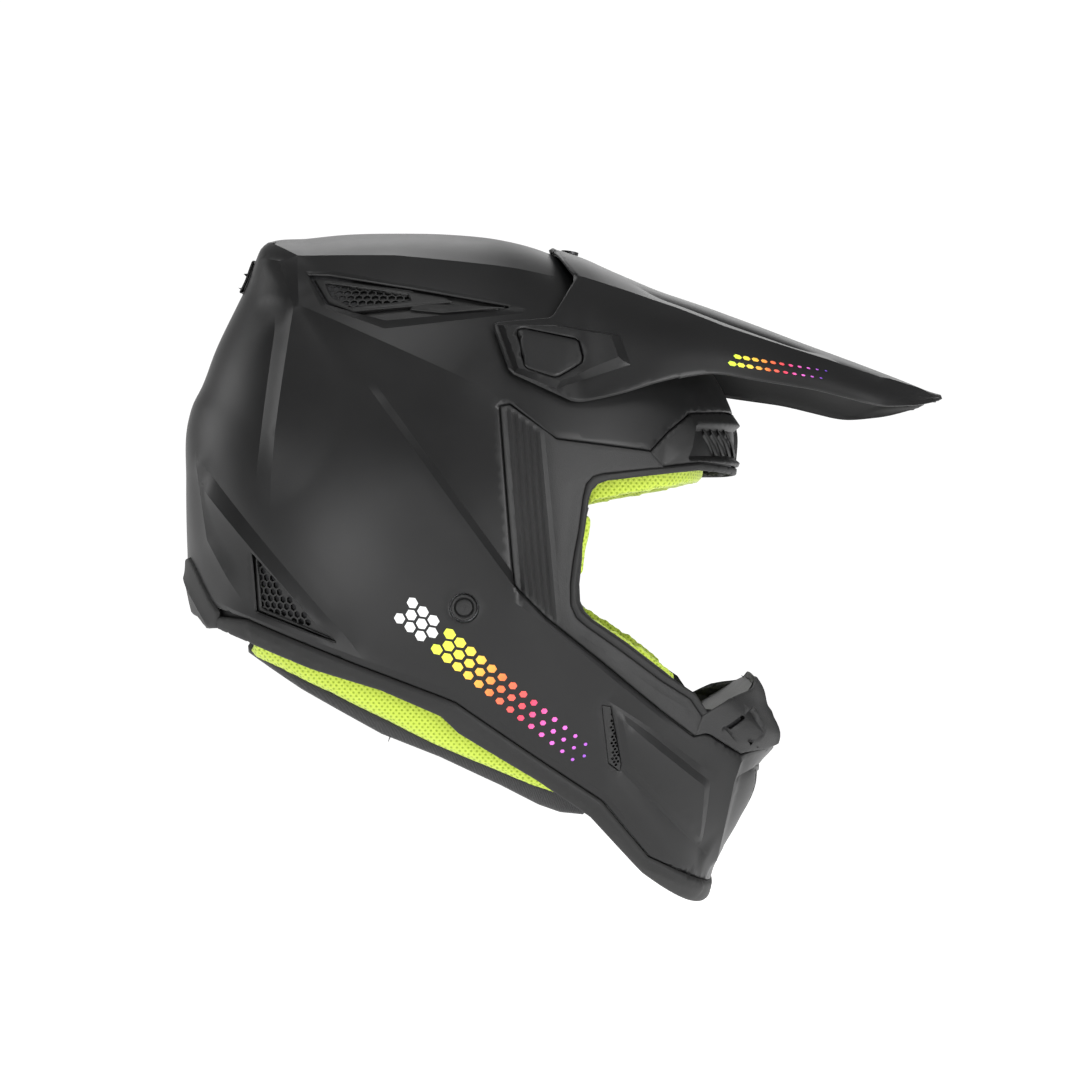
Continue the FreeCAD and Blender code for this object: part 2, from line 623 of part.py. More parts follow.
def make_padding():
    """The foam liner and chin foam, and the cloth-covered pads inside them."""
    dome, tube = head_solid(0.0)
    liner = side_prism(LINER_ZONE).common(form(foam)).cut(dome).cut(tube)
    for side in (-1, 1):
        liner = liner.cut(along_y(dim("nut_radius") + gap, *pivot, side * 82, side * 130))
        liner = liner.cut(along_y(4.0, -72, 146, side * 40, side * 130))
    aim = Vector(CENTRE_SCREW[0] - pivot[0], 0, CENTRE_SCREW[1] - pivot[1]).normalize()
    foot = Vector(CENTRE_SCREW[0], 0, CENTRE_SCREW[1]) - aim * 24.0
    liner = liner.cut(Part.makeCylinder(dim("nut_radius") + gap, 40.0, foot, aim))
    liner = liner.cut(box((-170, -10, 154), (-100, 10, 168)))
    liner = liner.cut(side_prism([(100, 66), (104, 74), (140, 76), (140, 60)], -16, 16))
    add("eps_liner", liner)
    outer_dome, _ = head_solid(gap)
    inner_dome, _ = head_solid(dim("pad_thickness"))
    crown = outer_dome.cut(inner_dome).common(box((-200, -200, 72), (200, 200, 200)))
    add("crown_pad", crown)
    brow = skin(BROW_PAD, dim("brow_pad_depth"), dim("brow_pad_depth") + dim("brow_pad_wall"))
    add("brow_pad", brow.cut(side_prism([(40, 29), (48, 29), (48, 47), (40, 47)])))
    cheek = side_prism(CHEEK_PAD, -FAR, -60).common(form(wall + 2.4))
    cheek = cheek.cut(side_prism([(-200, -120), (36, -120), (36, 60), (-200, 60)], -FAR, -78))
    cheek = cheek.cut(box((-30, -FAR, -90), (-4, -66, -48)))
    add_pair("cheek_pad", cheek)
    carrier = side_prism(CHEEK_BASE, -FAR, 0).common(form(foam))
    carrier = carrier.cut(box((-200, -78.4, -200), (200, FAR, 60)))
    carrier = carrier.cut(side_prism([(35.6, -200), (200, -200), (200, 60), (35.6, 60)], -FAR, 0))
    carrier = carrier.cut(box((-32, -FAR, -60), (-2, -103, -6)))
    add_pair("cheek_base", carrier)
    add("neck_roll", skin(NECK_ROLL, wall + 2.4, 21.0))
    chin = side_prism(CHIN_FOAM).common(form(foam)).cut(form(22.0))
    add("eps_chin_bar", chin.cut(box((90, -26, -117), (190, 26, -70))))


# ---------------------------------------------------------------- retention

def d_ring(height):
    """A steel ring of round wire: a straight bar, two arms and a far bar with round corners."""
    r = dim("ring_wire_radius")
    half, length, bend = dim("ring_half_width"), dim("ring_length"), 5.0
    x = dim("rivet_x")
    corners = [Vector(x - half, RING_BAR_Y, height), Vector(x + half, RING_BAR_Y, height),
               Vector(x + half, RING_BAR_Y - length, height),
               Vector(x - half, RING_BAR_Y - length, height)]
    middle = (corners[0] + corners[1]) * 0.5
    path = rounded_path([middle] + corners[1:] + corners[:1] + [middle], [bend] * 4)
    circle = Part.Circle(middle, Vector(1, 0, 0), r)
    return path.makePipeShell([Part.Wire([circle.toShape()])], True, False)


def make_retention():
    """The buckled chin strap: two webbings, two rings, their anchor plates and the snap."""
    spacing = dim("ring_spacing")
    clear = dim("ring_wire_radius") + dim("strap_thickness") / 2 + 0.5
    far_bar = RING_BAR_Y - dim("ring_length")
    top = RING_Z + clear
    bottom = RING_Z - clear
    hang_y = rivet_y - wall - 5.0
    drop = [(hang_y, -15.0), (hang_y, -42.0), (76.0, -56.0), (70.0, -74.0)]
    right = [(-y, z) for y, z in drop] + [(-36.0, top), (far_bar + clear, top)]
    right += [(far_bar + clear, bottom), (-30.0, bottom)]
    turn = clear - 0.01
    bore = along_y(dim("rivet_radius") + 0.1, *rivet, -FAR, FAR)
    add("chin_strap_right", webbing(right, [5.0, 12.0, 14.0, 30.0, turn, turn]).cut(bore))
    lower = RING_Z - spacing - clear
    near_bar = RING_BAR_Y - clear
    left = drop + [(66.0, top), (near_bar, top), (near_bar, lower), (63.0, lower)]
    add("chin_strap_left", webbing(left, [5.0, 12.0, 6.0, 3.0, turn, turn]).cut(bore))
    add("inner_d_ring", d_ring(RING_Z))
    add("outer_d_ring", d_ring(RING_Z - spacing))
    for side, word in ((-1, "right"), (1, "left")):
        anchor_plate(word, side)
    snap = doc.addObject("Part::Cylinder", "strap_snap")
    snap.setExpression("Radius", "dims.snap_radius")
    snap.setExpression("Height", "dims.snap_height")
    snap.Placement = Placement(Vector(rivet[0], -22.0, bottom + dim("strap_thickness") / 2 + 0.2),
                               Rotation())
    sub_parts.append(snap)


# ---------------------------------------------------------------- build and write

make_outer_shell()
make_shell_trims()
make_vents()
make_chin()
make_peak()
make_fasteners()
make_padding()
make_retention()
doc.recompute()

for item in doc.Objects:
    if "Invalid" in item.State or "Error" in item.State:
        raise RuntimeError(f"{item.Label}: {item.State}")
os.makedirs("parts", exist_ok=True)
for part in sub_parts:
    shape = part.Shape
    if shape.isNull() or not shape.isValid() or not shape.Solids:
        raise RuntimeError(f"{part.Label} has no valid solid")
    print(f"{part.Label:26s} solids {len(shape.Solids)} volume {shape.Volume / 1000:9.2f} cm3")
    shape.exportStep(f"parts/{part.Label}.step")
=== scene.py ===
import math
import bmesh
import bpy
import numpy as np
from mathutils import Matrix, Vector
from mathutils.geometry import delaunay_2d_cdt


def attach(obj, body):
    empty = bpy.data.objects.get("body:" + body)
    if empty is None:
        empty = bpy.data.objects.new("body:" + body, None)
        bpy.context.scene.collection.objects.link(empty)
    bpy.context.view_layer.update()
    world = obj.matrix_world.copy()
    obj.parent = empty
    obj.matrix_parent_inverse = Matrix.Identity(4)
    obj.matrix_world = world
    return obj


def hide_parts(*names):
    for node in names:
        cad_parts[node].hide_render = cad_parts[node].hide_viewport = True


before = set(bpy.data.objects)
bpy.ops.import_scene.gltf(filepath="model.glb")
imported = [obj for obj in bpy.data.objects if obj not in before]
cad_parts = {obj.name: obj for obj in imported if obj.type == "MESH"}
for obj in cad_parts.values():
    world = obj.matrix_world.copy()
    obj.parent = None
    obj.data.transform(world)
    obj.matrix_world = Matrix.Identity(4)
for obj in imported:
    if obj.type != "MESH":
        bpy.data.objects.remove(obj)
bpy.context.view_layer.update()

# A motocross helmet. Outlines are written in millimetres in side view, as (x, z) points on the
# shell's curved form, where x points forward and z up; everything is turned into metres when a
# mesh is made. The form is symmetric, so each patch is made for the right side and mirrored.

MM = 0.001
HEXAGON_ROW = 0.866     # distance of two rows of a hexagonal grid, in pitches
ROLL_STEPS = (0.35, 1.0)     # lines of points across a rolled edge, in radii of the roll
SIDE_FADE = (0.62, 1.0)     # where the form goes from its smooth outline to the exact one
SEAM_WELD = 2e-5     # points of the two halves closer than this, in metres, become one


# ------------------------------------------------------------------ the shell's form

SILHOUETTE = [
    (-179.5, 6), (-180.2, 46), (-179, 80), (-176.5, 89), (-171, 100), (-163, 121),
    (-149.5, 149), (-144, 160), (-139.5, 172), (-136, 179), (-130, 182.4), (-110, 185),
    (-92, 187),
    (-57, 188), (-29, 187.4), (0, 184.4), (20, 179.6), (42, 170.5), (60, 161), (87, 145),
    (110, 123), (126, 102), (134, 85), (137.5, 72), (137, 60), (135, 45), (140, 0), (143.5, -50),
    (145, -66), (150, -74), (153, -85), (160, -100), (158.8, -106), (150.8, -117), (148.5, -131),
    (138, -152), (127.5, -168.5), (123, -178),
    (118.5, -194), (70, -190), (0, -168), (-43, -152), (-125, -112), (-168, -52), (-178, -20),
]
CENTRE = np.array((-35.0, 17.5))
HALF_WIDTH = 124.0
POWER = 2.2
ANGLES = np.linspace(-math.pi, math.pi, 1441)


def _silhouette_radii():
    """Radius of the mid-plane outline for each angle, through a smooth periodic curve."""
    pts = np.array(SILHOUETTE, float) - CENTRE
    angle = np.arctan2(pts[:, 1], pts[:, 0])
    order = np.argsort(angle)
    angle, radius = angle[order], np.hypot(pts[:, 0], pts[:, 1])[order]
    angle = np.concatenate([angle - 2 * math.pi, angle, angle + 2 * math.pi])
    radius = np.tile(radius, 3)
    slope = np.gradient(radius, angle)
    k = np.clip(np.searchsorted(angle, ANGLES) - 1, 0, len(angle) - 2)
    width = angle[k + 1] - angle[k]
    s = (ANGLES - angle[k]) / width
    return ((2 * s**3 - 3 * s**2 + 1) * radius[k] + (s**3 - 2 * s**2 + s) * width * slope[k]
            + (-2 * s**3 + 3 * s**2) * radius[k + 1] + (s**3 - s**2) * width * slope[k + 1])


def _smoothed(values, spread):
    """A periodic table blurred by a spread in radians."""
    step = ANGLES[1] - ANGLES[0]
    reach = int(3 * spread / step)
    weights = np.exp(-0.5 * (np.arange(-reach, reach + 1) * step / spread) ** 2)
    weights /= weights.sum()
    ring = values[:-1]
    padded = np.concatenate([ring[-reach:], ring, ring[:reach]])
    result = np.convolve(padded, weights, "valid")
    return np.append(result, result[0])


def smoothstep(low, high, value):
    """A smooth step from 0 to 1."""
    s = np.clip((value - low) / (high - low), 0, 1)
    return s * s * (3 - 2 * s)


class Form:
    """The helmet's closed form. (u, v) is a nearly distance-true map of its right half."""

    def __init__(self, offset=0.0):
        exact = _silhouette_radii() + offset
        self.half_width = HALF_WIDTH + offset
        self.exact = exact
        self.smooth = _smoothed(exact, math.radians(14))
        self.reach = 0.5 * math.pi * np.sqrt((self.smooth**2 + self.half_width**2) / 2)

    def radius(self, angle, t):
        smooth = np.interp(angle, ANGLES, self.smooth)
        exact = np.interp(angle, ANGLES, self.exact)
        return smooth + (exact - smooth) * smoothstep(*SIDE_FADE, t)

    def t_at(self, x, z):
        dx, dz = x - CENTRE[0], z - CENTRE[1]
        angle, r = np.arctan2(dz, dx), np.hypot(dx, dz)
        t = np.full_like(r, 0.8)
        for _ in range(40):
            t = 0.5 * t + 0.5 * np.minimum(r / self.radius(angle, t), 1.0)
        return angle, t

    def uv(self, points):
        """Side-view points (x, z), or (x, z, |y|) where the width is given, to the map."""
        result = []
        for p in points:
            x, z = np.array([float(p[0])]), np.array([float(p[1])])
            angle, t = self.t_at(x, z)
            if len(p) == 3:
                t = np.array([(1 - (p[2] / self.half_width) ** POWER) ** (1 / POWER)])
            if t[0] > 0.992 and len(p) == 2:
                t = np.array([1.0])
            rho = 2 / math.pi * np.arcsin(np.clip(t, 0, 1)) * np.interp(angle, ANGLES, self.reach)
            result.append((float(rho[0] * np.cos(angle[0])), float(rho[0] * np.sin(angle[0]))))
        return result

    def on_seam(self, uv):
        """True where a map point lies on the plane of symmetry."""
        angle = math.atan2(uv[1], uv[0])
        return math.hypot(*uv) > 0.9985 * float(np.interp(angle, ANGLES, self.reach))

    def place(self, uv):
        """Map points to 3-D points in millimetres, on the right side."""
        u, v = uv[:, 0], uv[:, 1]
        angle = np.arctan2(v, u)
        s = np.hypot(u, v) / np.interp(angle, ANGLES, self.reach)
        t = np.sin(0.5 * math.pi * s)
        r = self.radius(angle, t) * t
        side = np.sign(np.cos(0.5 * math.pi * s))
        y = -self.half_width * side * np.maximum(1 - t**POWER, 0) ** (1 / POWER)
        return np.stack([CENTRE[0] + r * np.cos(angle), y, CENTRE[1] + r * np.sin(angle)], 1)

    def seam_line(self, a, b, pitch):
        """Map points along the plane of symmetry from a to b, the short way."""
        start, end = math.atan2(a[1], a[0]), math.atan2(b[1], b[0])
        turn = (end - start + math.pi) % (2 * math.pi) - math.pi
        count = max(int(abs(turn) * 150 / pitch), 1)
        angles = start + turn * np.arange(count) / count
        angles = (angles + math.pi) % (2 * math.pi) - math.pi
        reach = np.interp(angles, ANGLES, self.reach)
        return [(float(r * math.cos(q)), float(r * math.sin(q))) for r, q in zip(reach, angles)]

    def half_at(self, x, z):
        """Half width of the form at side-view points."""
        _, t = self.t_at(np.asarray(x, float), np.asarray(z, float))
        return self.half_width * np.maximum(1 - t**POWER, 0) ** (1 / POWER)


def normals(surface, uv):
    """Outward unit normals of a surface at map points."""
    step = 0.05
    du = surface.place(uv + (step, 0)) - surface.place(uv - (step, 0))
    dv = surface.place(uv + (0, step)) - surface.place(uv - (0, step))
    n = np.cross(du, dv)
    n /= np.maximum(np.linalg.norm(n, axis=1), 1e-9)[:, None]
    return n


# ------------------------------------------------------------------ patches of a surface

def divide(points, pitch, closed=True):
    """Points along a straight-sided line, no further apart than the pitch."""
    result = []
    count = len(points)
    for i in range(count if closed else count - 1):
        a, b = np.array(points[i]), np.array(points[(i + 1) % count])
        n = max(int(np.linalg.norm(b - a) / pitch + 0.5), 1)
        result += [tuple(a + (b - a) * k / n) for k in range(n)]
    if not closed:
        result.append(tuple(points[-1]))
    return result


def map_line(surface, points, pitch, closed=True):
    """A side-view line on the map: divided first, so it stays straight in side view."""
    result = []
    count = len(points)
    for i in range(count if closed else count - 1):
        a, b = points[i], points[(i + 1) % count]
        ua, ub = surface.uv([a])[0], surface.uv([b])[0]
        if surface.on_seam(ua) and surface.on_seam(ub):
            result += surface.seam_line(ua, ub, pitch)
        elif len(a) == 3 or len(b) == 3:
            result += divide([ua, ub], pitch, False)[:-1]
        else:
            result += surface.uv(divide([a, b], pitch, False)[:-1])
    if not closed:
        result.append(surface.uv([points[-1]])[0])
    return result


def inside(polygon, points):
    """Which points lie inside a polygon."""
    poly = np.asarray(polygon)
    x, y = points[:, 0], points[:, 1]
    result = np.zeros(len(points), bool)
    j = len(poly) - 1
    for i in range(len(poly)):
        xi, yi, xj, yj = *poly[i], *poly[j]
        if yi != yj:
            cross = ((yi > y) != (yj > y)) & (x < (xj - xi) * (y - yi) / (yj - yi) + xi)
            result ^= cross
        j = i
    return result


def distance(line, points, closed=False):
    """Distance of points from a line, and how far along it each nearest point lies (0 to 1)."""
    a = np.asarray(line)
    b = np.roll(a, -1, 0) if closed else a[1:]
    a = a if closed else a[:-1]
    lengths = np.linalg.norm(b - a, axis=1)
    total = max(lengths.sum(), 1e-9)
    start = np.concatenate([[0], np.cumsum(lengths)[:-1]])
    best = np.full(len(points), 1e9)
    along = np.zeros(len(points))
    for p, q, length, s0 in zip(a, b, lengths, start):
        if length < 1e-9:
            continue
        f = np.clip(((points - p) @ (q - p)) / length**2, 0, 1)
        d = np.linalg.norm(points - (p + f[:, None] * (q - p)), axis=1)
        nearer = d < best
        best = np.where(nearer, d, best)
        along = np.where(nearer, (s0 + f * length) / total, along)
    return best, along


def inset_ring(line, amount):
    """A closed line moved inwards."""
    p = np.asarray(line)
    before, after = p - np.roll(p, 1, 0), np.roll(p, -1, 0) - p
    area = 0.5 * np.sum(p[:, 0] * np.roll(p[:, 1], -1) - np.roll(p[:, 0], -1) * p[:, 1])
    turn = 1.0 if area > 0 else -1.0

    def left(d):
        d = d / np.maximum(np.linalg.norm(d, axis=1), 1e-9)[:, None]
        return np.stack([-d[:, 1], d[:, 0]], 1) * turn

    n = left(before) + left(after)
    size = np.maximum(np.linalg.norm(n, axis=1), 0.35)[:, None]
    return [tuple(q) for q in p + n / size * amount * np.minimum(2 / size, 1.6)]


class Crease:
    """A ridge (height above 0) or valley (below 0) along a side-view line.

    The width is one number, or two: to the left and to the right of the line's direction.
    """

    def __init__(self, points, height, width, taper=(0.15, 0.15), sharp=True):
        self.points = points
        self.height = height
        self.width = width
        self.taper = taper
        self.sharp = sharp

    def lift(self, line, uv):
        d, along = distance(line, uv)
        fade = np.ones(len(uv))
        if self.taper[0]:
            fade *= smoothstep(0, self.taper[0], along)
        if self.taper[1]:
            fade *= smoothstep(0, self.taper[1], 1 - along)
        width = self.width
        if isinstance(width, tuple):
            start, way = np.asarray(line[0]), np.asarray(line[-1]) - np.asarray(line[0])
            left = way[0] * (uv[:, 1] - start[1]) - way[1] * (uv[:, 0] - start[0]) > 0
            width = np.where(left, width[0], width[1])
        return self.height * fade * np.exp(-d / width)


def relief(creases, lines, points):
    """Height of a set of creases: the highest ridge and the deepest valley at each point."""
    ridge, valley = np.zeros(len(points)), np.zeros(len(points))
    for crease, line in zip(creases, lines):
        lift = crease.lift(line, points)
        ridge, valley = np.maximum(ridge, lift), np.minimum(valley, lift)
    return ridge + valley


def patch(name, surface, outline, holes=(), creases=(), lift=0.0, pitch=3.0, thick=2.5,
          roll=1.0, extra=None, map_holes=(), hole_roll=None):
    """A piece of wall on a surface, with creases, rolled edges and thickness, on both sides."""
    border = map_line(surface, outline, pitch)
    rings = [map_line(surface, h, min(pitch, 2.0)) for h in holes] + [list(h) for h in map_holes]
    lines = [map_line(surface, c.points, pitch, False) for c in creases]
    verts, edges, sharp_edges = [], [], set()

    def add_line(points, closed, sharp):
        base = len(verts)
        verts.extend(Vector((float(p[0]), float(p[1]))) for p in points)
        n = len(points)
        for i in range(n if closed else n - 1):
            if sharp:
                sharp_edges.add(len(edges))
            edges.append((base + i, base + (i + 1) % n))

    add_line(border, True, False)
    for ring in rings:
        add_line(ring, True, False)
    for crease, line in zip(creases, lines):
        add_line(line, False, crease.sharp)
    rolled = []
    if roll:
        seam = np.array([surface.on_seam(p) for p in border])
        if not seam.any():
            rolled.append((border, -1))
            for f in ROLL_STEPS:
                add_line(inset_ring(border, roll * f), True, False)
        else:
            start = int(np.argmax(seam))
            order = [(start + i) % len(border) for i in range(len(border))]
            run = []
            for i in order + [order[0]]:
                if seam[i]:
                    if len(run) > 1:
                        rolled.append((run + [border[i]], 1))
                    run = [border[i]]
                else:
                    run.append(border[i])
            for f in ROLL_STEPS:
                moved = inset_ring(border, roll * f)
                keep = [moved[i] for i in range(len(border))
                        if not (seam[i] and seam[i - 1] and seam[(i + 1) % len(border)])]
                for p in keep:
                    verts.append(Vector((float(p[0]), float(p[1]))))
        for ring in rings[:len(holes)]:
            size = roll if hole_roll is None else hole_roll
            if size:
                rolled.append((ring, -2))
                for f in ROLL_STEPS:
                    add_line(inset_ring(ring, -size * f), True, False)
    low, high = np.min(border, 0), np.max(border, 0)
    us = np.arange(low[0], high[0], pitch)
    vs = np.arange(low[1], high[1], pitch * HEXAGON_ROW)
    gu, gv = np.meshgrid(us, vs)
    gu = gu + (np.arange(len(vs)) % 2)[:, None] * pitch * 0.5
    grid = np.stack([gu.ravel(), gv.ravel()], 1)
    grid = grid[inside(border, grid)]
    for ring in rings:
        grid = grid[~inside(ring, grid)]
    fixed = np.array([(p.x, p.y) for p in verts])
    keep = np.ones(len(grid), bool)
    for chunk in range(0, len(grid), 2000):
        part = grid[chunk:chunk + 2000]
        near = np.min(np.hypot(part[:, None, 0] - fixed[None, :, 0],
                               part[:, None, 1] - fixed[None, :, 1]), 1)
        keep[chunk:chunk + 2000] = near > 0.5 * pitch
    verts.extend(Vector((float(p[0]), float(p[1]))) for p in grid[keep])
    out = delaunay_2d_cdt(verts, edges, [], 0, 1e-4, True)
    points = np.array([(p.x, p.y) for p in out[0]])
    faces = [f for f in out[2] if len(f) == 3]
    centres = np.array([points[list(f)].mean(0) for f in faces])
    good = inside(border, centres)
    for ring in rings:
        good &= ~inside(ring, centres)
    faces = [f for f, g in zip(faces, good) if g]
    height = lift + relief(creases, lines, points)
    if extra is not None:
        height += extra(points)
    for line, kind in rolled:
        size = roll if kind != -2 or hole_roll is None else hole_roll
        d, _ = distance(line, points, closed=kind < 0)
        f = np.clip(1 - d / size, 0, 1)
        height -= size * (1 - np.sqrt(np.maximum(1 - f * f, 0)))
    seam_points = np.array([surface.on_seam(p) for p in points])
    placed = surface.place(points)
    direction = normals(surface, points)
    direction[seam_points, 1] = 0
    placed = placed + direction * height[:, None]
    placed[seam_points, 1] = 0
    bm = bmesh.new()
    made = [bm.verts.new(Vector(p) * MM) for p in placed]
    marks = set()
    for edge, origin in zip(out[1], out[4]):
        if any(o in sharp_edges for o in origin):
            marks.add(tuple(sorted(edge)))
    for f in faces:
        try:
            bm.faces.new([made[i] for i in f])
        except ValueError:
            continue
    bm.verts.index_update()
    bm.edges.ensure_lookup_table()
    for edge in bm.edges:
        pair = tuple(sorted((edge.verts[0].index, edge.verts[1].index)))
        edge.smooth = pair not in marks
    bmesh.ops.delete(bm, geom=[v for v in bm.verts if not v.link_faces], context="VERTS")
    bm.faces.ensure_lookup_table()
    bm.normal_update()
    if surface.outward_test(bm) < 0:
        bmesh.ops.reverse_faces(bm, faces=bm.faces[:])
    copy = bmesh.ops.duplicate(bm, geom=bm.verts[:] + bm.edges[:] + bm.faces[:])["geom"]
    for v in copy:
        if isinstance(v, bmesh.types.BMVert):
            v.co.y = -v.co.y
    bmesh.ops.reverse_faces(bm, faces=[f for f in copy if isinstance(f, bmesh.types.BMFace)])
    seam = [v for v in bm.verts if abs(v.co.y) < 1e-6]
    bmesh.ops.remove_doubles(bm, verts=seam, dist=SEAM_WELD)
    thicken(bm, thick * MM)
    return finish_mesh(name, bm)


def thicken(bm, thickness):
    """Give an open sheet a back side and edges."""
    bm.normal_update()
    front = bm.faces[:]
    rim = [e for e in bm.edges if e.is_boundary]
    offsets = {v: v.normal.copy() for v in bm.verts}
    back = {}
    for v in list(offsets):
        back[v] = bm.verts.new(v.co - offsets[v] * thickness)
    for f in front:
        face = bm.faces.new([back[v] for v in reversed(f.verts)])
        face.smooth = True
    for e in rim:
        loop = e.link_loops[0]
        a, b = loop.vert, loop.link_loop_next.vert
        side = bm.faces.new([b, a, back[a], back[b]])
        side.smooth = True
        e.smooth = False


def finish_mesh(name, bm):
    """Turn a bmesh into an object in the scene."""
    mesh = bpy.data.meshes.new(name)
    for f in bm.faces:
        f.smooth = True
    bm.to_mesh(mesh)
    bm.free()
    piece = bpy.data.objects.new(name, mesh)
    bpy.context.scene.collection.objects.link(piece)
    return piece


def form_outward(bm):
    """Above zero where the faces of a mesh on the form look outwards."""
    total = 0.0
    for f in list(bm.faces)[:400]:
        c = f.calc_center_median() / MM
        total += f.normal.dot(Vector((c.x - CENTRE[0], c.y, c.z - CENTRE[1])).normalized())
    return total


Form.outward_test = staticmethod(form_outward)


# ------------------------------------------------------------------ camera and light

camera_data = bpy.data.cameras.new("camera")
camera_data.sensor_width = 36.0
camera_data.lens = 80.5
camera = bpy.data.objects.new("camera", camera_data)
camera.location = (0.0232, -1.4, 0.0116)
camera.rotation_euler = (math.radians(90), 0, 0)
bpy.context.scene.collection.objects.link(camera)
bpy.context.scene.camera = camera


# ------------------------------------------------------------------ materials

class Nodes:
    """A short way to write a node tree."""

    def __init__(self, name):
        self.material = bpy.data.materials.new(name)
        self.material.use_nodes = True
        self.tree = self.material.node_tree
        self.shader = self.tree.nodes["Principled BSDF"]

    def node(self, kind, **values):
        item = self.tree.nodes.new(kind)
        for key, value in values.items():
            setattr(item, key, value)
        return item

    def link(self, source, target):
        self.tree.links.new(source, target)

    def math(self, operation, a, b=None, c=None):
        item = self.node("ShaderNodeMath", operation=operation)
        for i, value in enumerate((a, b, c)):
            if value is None:
                continue
            if isinstance(value, (int, float)):
                item.inputs[i].default_value = value
            else:
                self.link(value, item.inputs[i])
        return item.outputs[0]

    def noise(self, scale, detail=2.0):
        item = self.node("ShaderNodeTexNoise")
        item.inputs["Scale"].default_value = scale
        item.inputs["Detail"].default_value = detail
        self.link(self.place(), item.inputs["Vector"])
        return item.outputs["Fac"]

    def place(self):
        return self.node("ShaderNodeTexCoord").outputs["Object"]

    def split(self, output="Object"):
        """The three components of a texture coordinate."""
        item = self.node("ShaderNodeSeparateXYZ")
        self.link(self.node("ShaderNodeTexCoord").outputs[output], item.inputs[0])
        return item.outputs

    def color(self, value, stops):
        """A ramp from a value into the base colour."""
        self.link(self.ramp(value, stops), self.shader.inputs["Base Color"])

    def ramp(self, value, stops):
        item = self.node("ShaderNodeValToRGB")
        self.link(value, item.inputs[0])
        ramp = item.color_ramp
        while len(ramp.elements) < len(stops):
            ramp.elements.new(0.5)
        for element, (position, color) in zip(ramp.elements, stops):
            element.position = position
            element.color = (*color, 1.0)
        return item.outputs[0]

    def bump(self, value, strength, distance_m):
        item = self.node("ShaderNodeBump")
        item.inputs["Strength"].default_value = strength
        item.inputs["Distance"].default_value = distance_m
        self.link(value, item.inputs["Height"])
        self.link(item.outputs[0], self.shader.inputs["Normal"])

    def set(self, **values):
        for key, value in values.items():
            self.shader.inputs[key.replace("_", " ")].default_value = value


def plastic(name, dark, light, roughness, spread, grain_scale, grain_height, spec=0.5):
    """Moulded or lacquered plastic with a fine grain."""
    n = Nodes(name)
    n.color(n.noise(14.0, 4.0), [(0.35, dark), (0.68, light)])
    rough = n.math("MULTIPLY_ADD", n.noise(55.0, 3.0), spread, roughness - spread / 2)
    n.link(rough, n.shader.inputs["Roughness"])
    n.bump(n.noise(grain_scale, 3.0), 0.6, grain_height)
    n.set(Specular_IOR_Level=spec)
    return n.material


def spacer_mesh(name, thread, hole, pitch=0.0031):
    """Three-dimensional mesh cloth: staggered holes, seen square-on from every side."""
    n = Nodes(name)
    x, y, z = n.split()
    ax, ay, az = [n.math("ABSOLUTE", f) for f in n.split("Normal")]
    pick_x = n.math("GREATER_THAN", ax, n.math("MAXIMUM", ay, az))
    pick_z = n.math("GREATER_THAN", az, n.math("MAXIMUM", ax, ay))
    u = n.math("ADD", x, n.math("MULTIPLY", pick_x, n.math("SUBTRACT", y, x)))
    v = n.math("ADD", z, n.math("MULTIPLY", pick_z, n.math("SUBTRACT", y, z)))
    row = pitch * 1.2
    near = []
    for shift in (0.0, 0.5):
        a = n.math("SUBTRACT", n.math("FRACT", n.math("MULTIPLY_ADD", u, 1 / pitch, shift)), 0.5)
        b = n.math("SUBTRACT", n.math("FRACT", n.math("MULTIPLY_ADD", v, 1 / row, shift)), 0.5)
        b = n.math("MULTIPLY", b, 1.25)
        square = n.math("ADD", n.math("MULTIPLY", a, a), n.math("MULTIPLY", b, b))
        near.append(n.math("SQRT", square))
    d = n.math("MINIMUM", *near)
    n.color(d, [(0.14, hole), (0.27, thread)])
    height = n.math("ADD", n.math("MINIMUM", d, 0.35), n.math("MULTIPLY", n.noise(1400.0), 0.12))
    n.bump(height, 0.9, 0.0009)
    n.set(Roughness=0.75, Sheen_Weight=0.3, Sheen_Roughness=0.5, Specular_IOR_Level=0.25)
    return n.material


def woven(name, dark, light, pitch=0.0012):
    """Webbing or faux leather cloth with crossed threads."""
    n = Nodes(name)
    x, y, z = n.split()
    a = n.math("SINE", n.math("MULTIPLY", x, 2 * math.pi / pitch))
    b = n.math("SINE", n.math("MULTIPLY", n.math("ADD", y, z), 2 * math.pi / pitch))
    weave = n.math("MULTIPLY_ADD", n.math("MULTIPLY", a, b), 0.5, 0.5)
    n.color(weave, [(0.1, dark), (0.9, light)])
    n.bump(weave, 0.7, 0.0003)
    n.set(Roughness=0.8, Sheen_Weight=0.2)
    return n.material


def foam(name):
    """Expanded beads, in a dark shade."""
    n = Nodes(name)
    beads = n.node("ShaderNodeTexVoronoi")
    beads.inputs["Scale"].default_value = 260.0
    n.link(n.place(), beads.inputs["Vector"])
    shade = [(0.0, (0.022, 0.022, 0.024)), (0.8, (0.011, 0.011, 0.012))]
    n.color(beads.outputs["Distance"], shade)
    n.bump(beads.outputs["Distance"], 0.6, -0.0006)
    n.set(Roughness=0.85)
    return n.material


def metal(name, color, roughness):
    """Plated metal with faint spots."""
    n = Nodes(name)
    n.color(n.noise(90.0, 4.0), [(0.3, tuple(0.82 * c for c in color)), (0.7, color)])
    n.link(n.math("MULTIPLY_ADD", n.noise(300.0), 0.2, roughness - 0.1),
           n.shader.inputs["Roughness"])
    n.bump(n.noise(900.0), 0.3, 0.00008)
    n.set(Metallic=1.0)
    return n.material


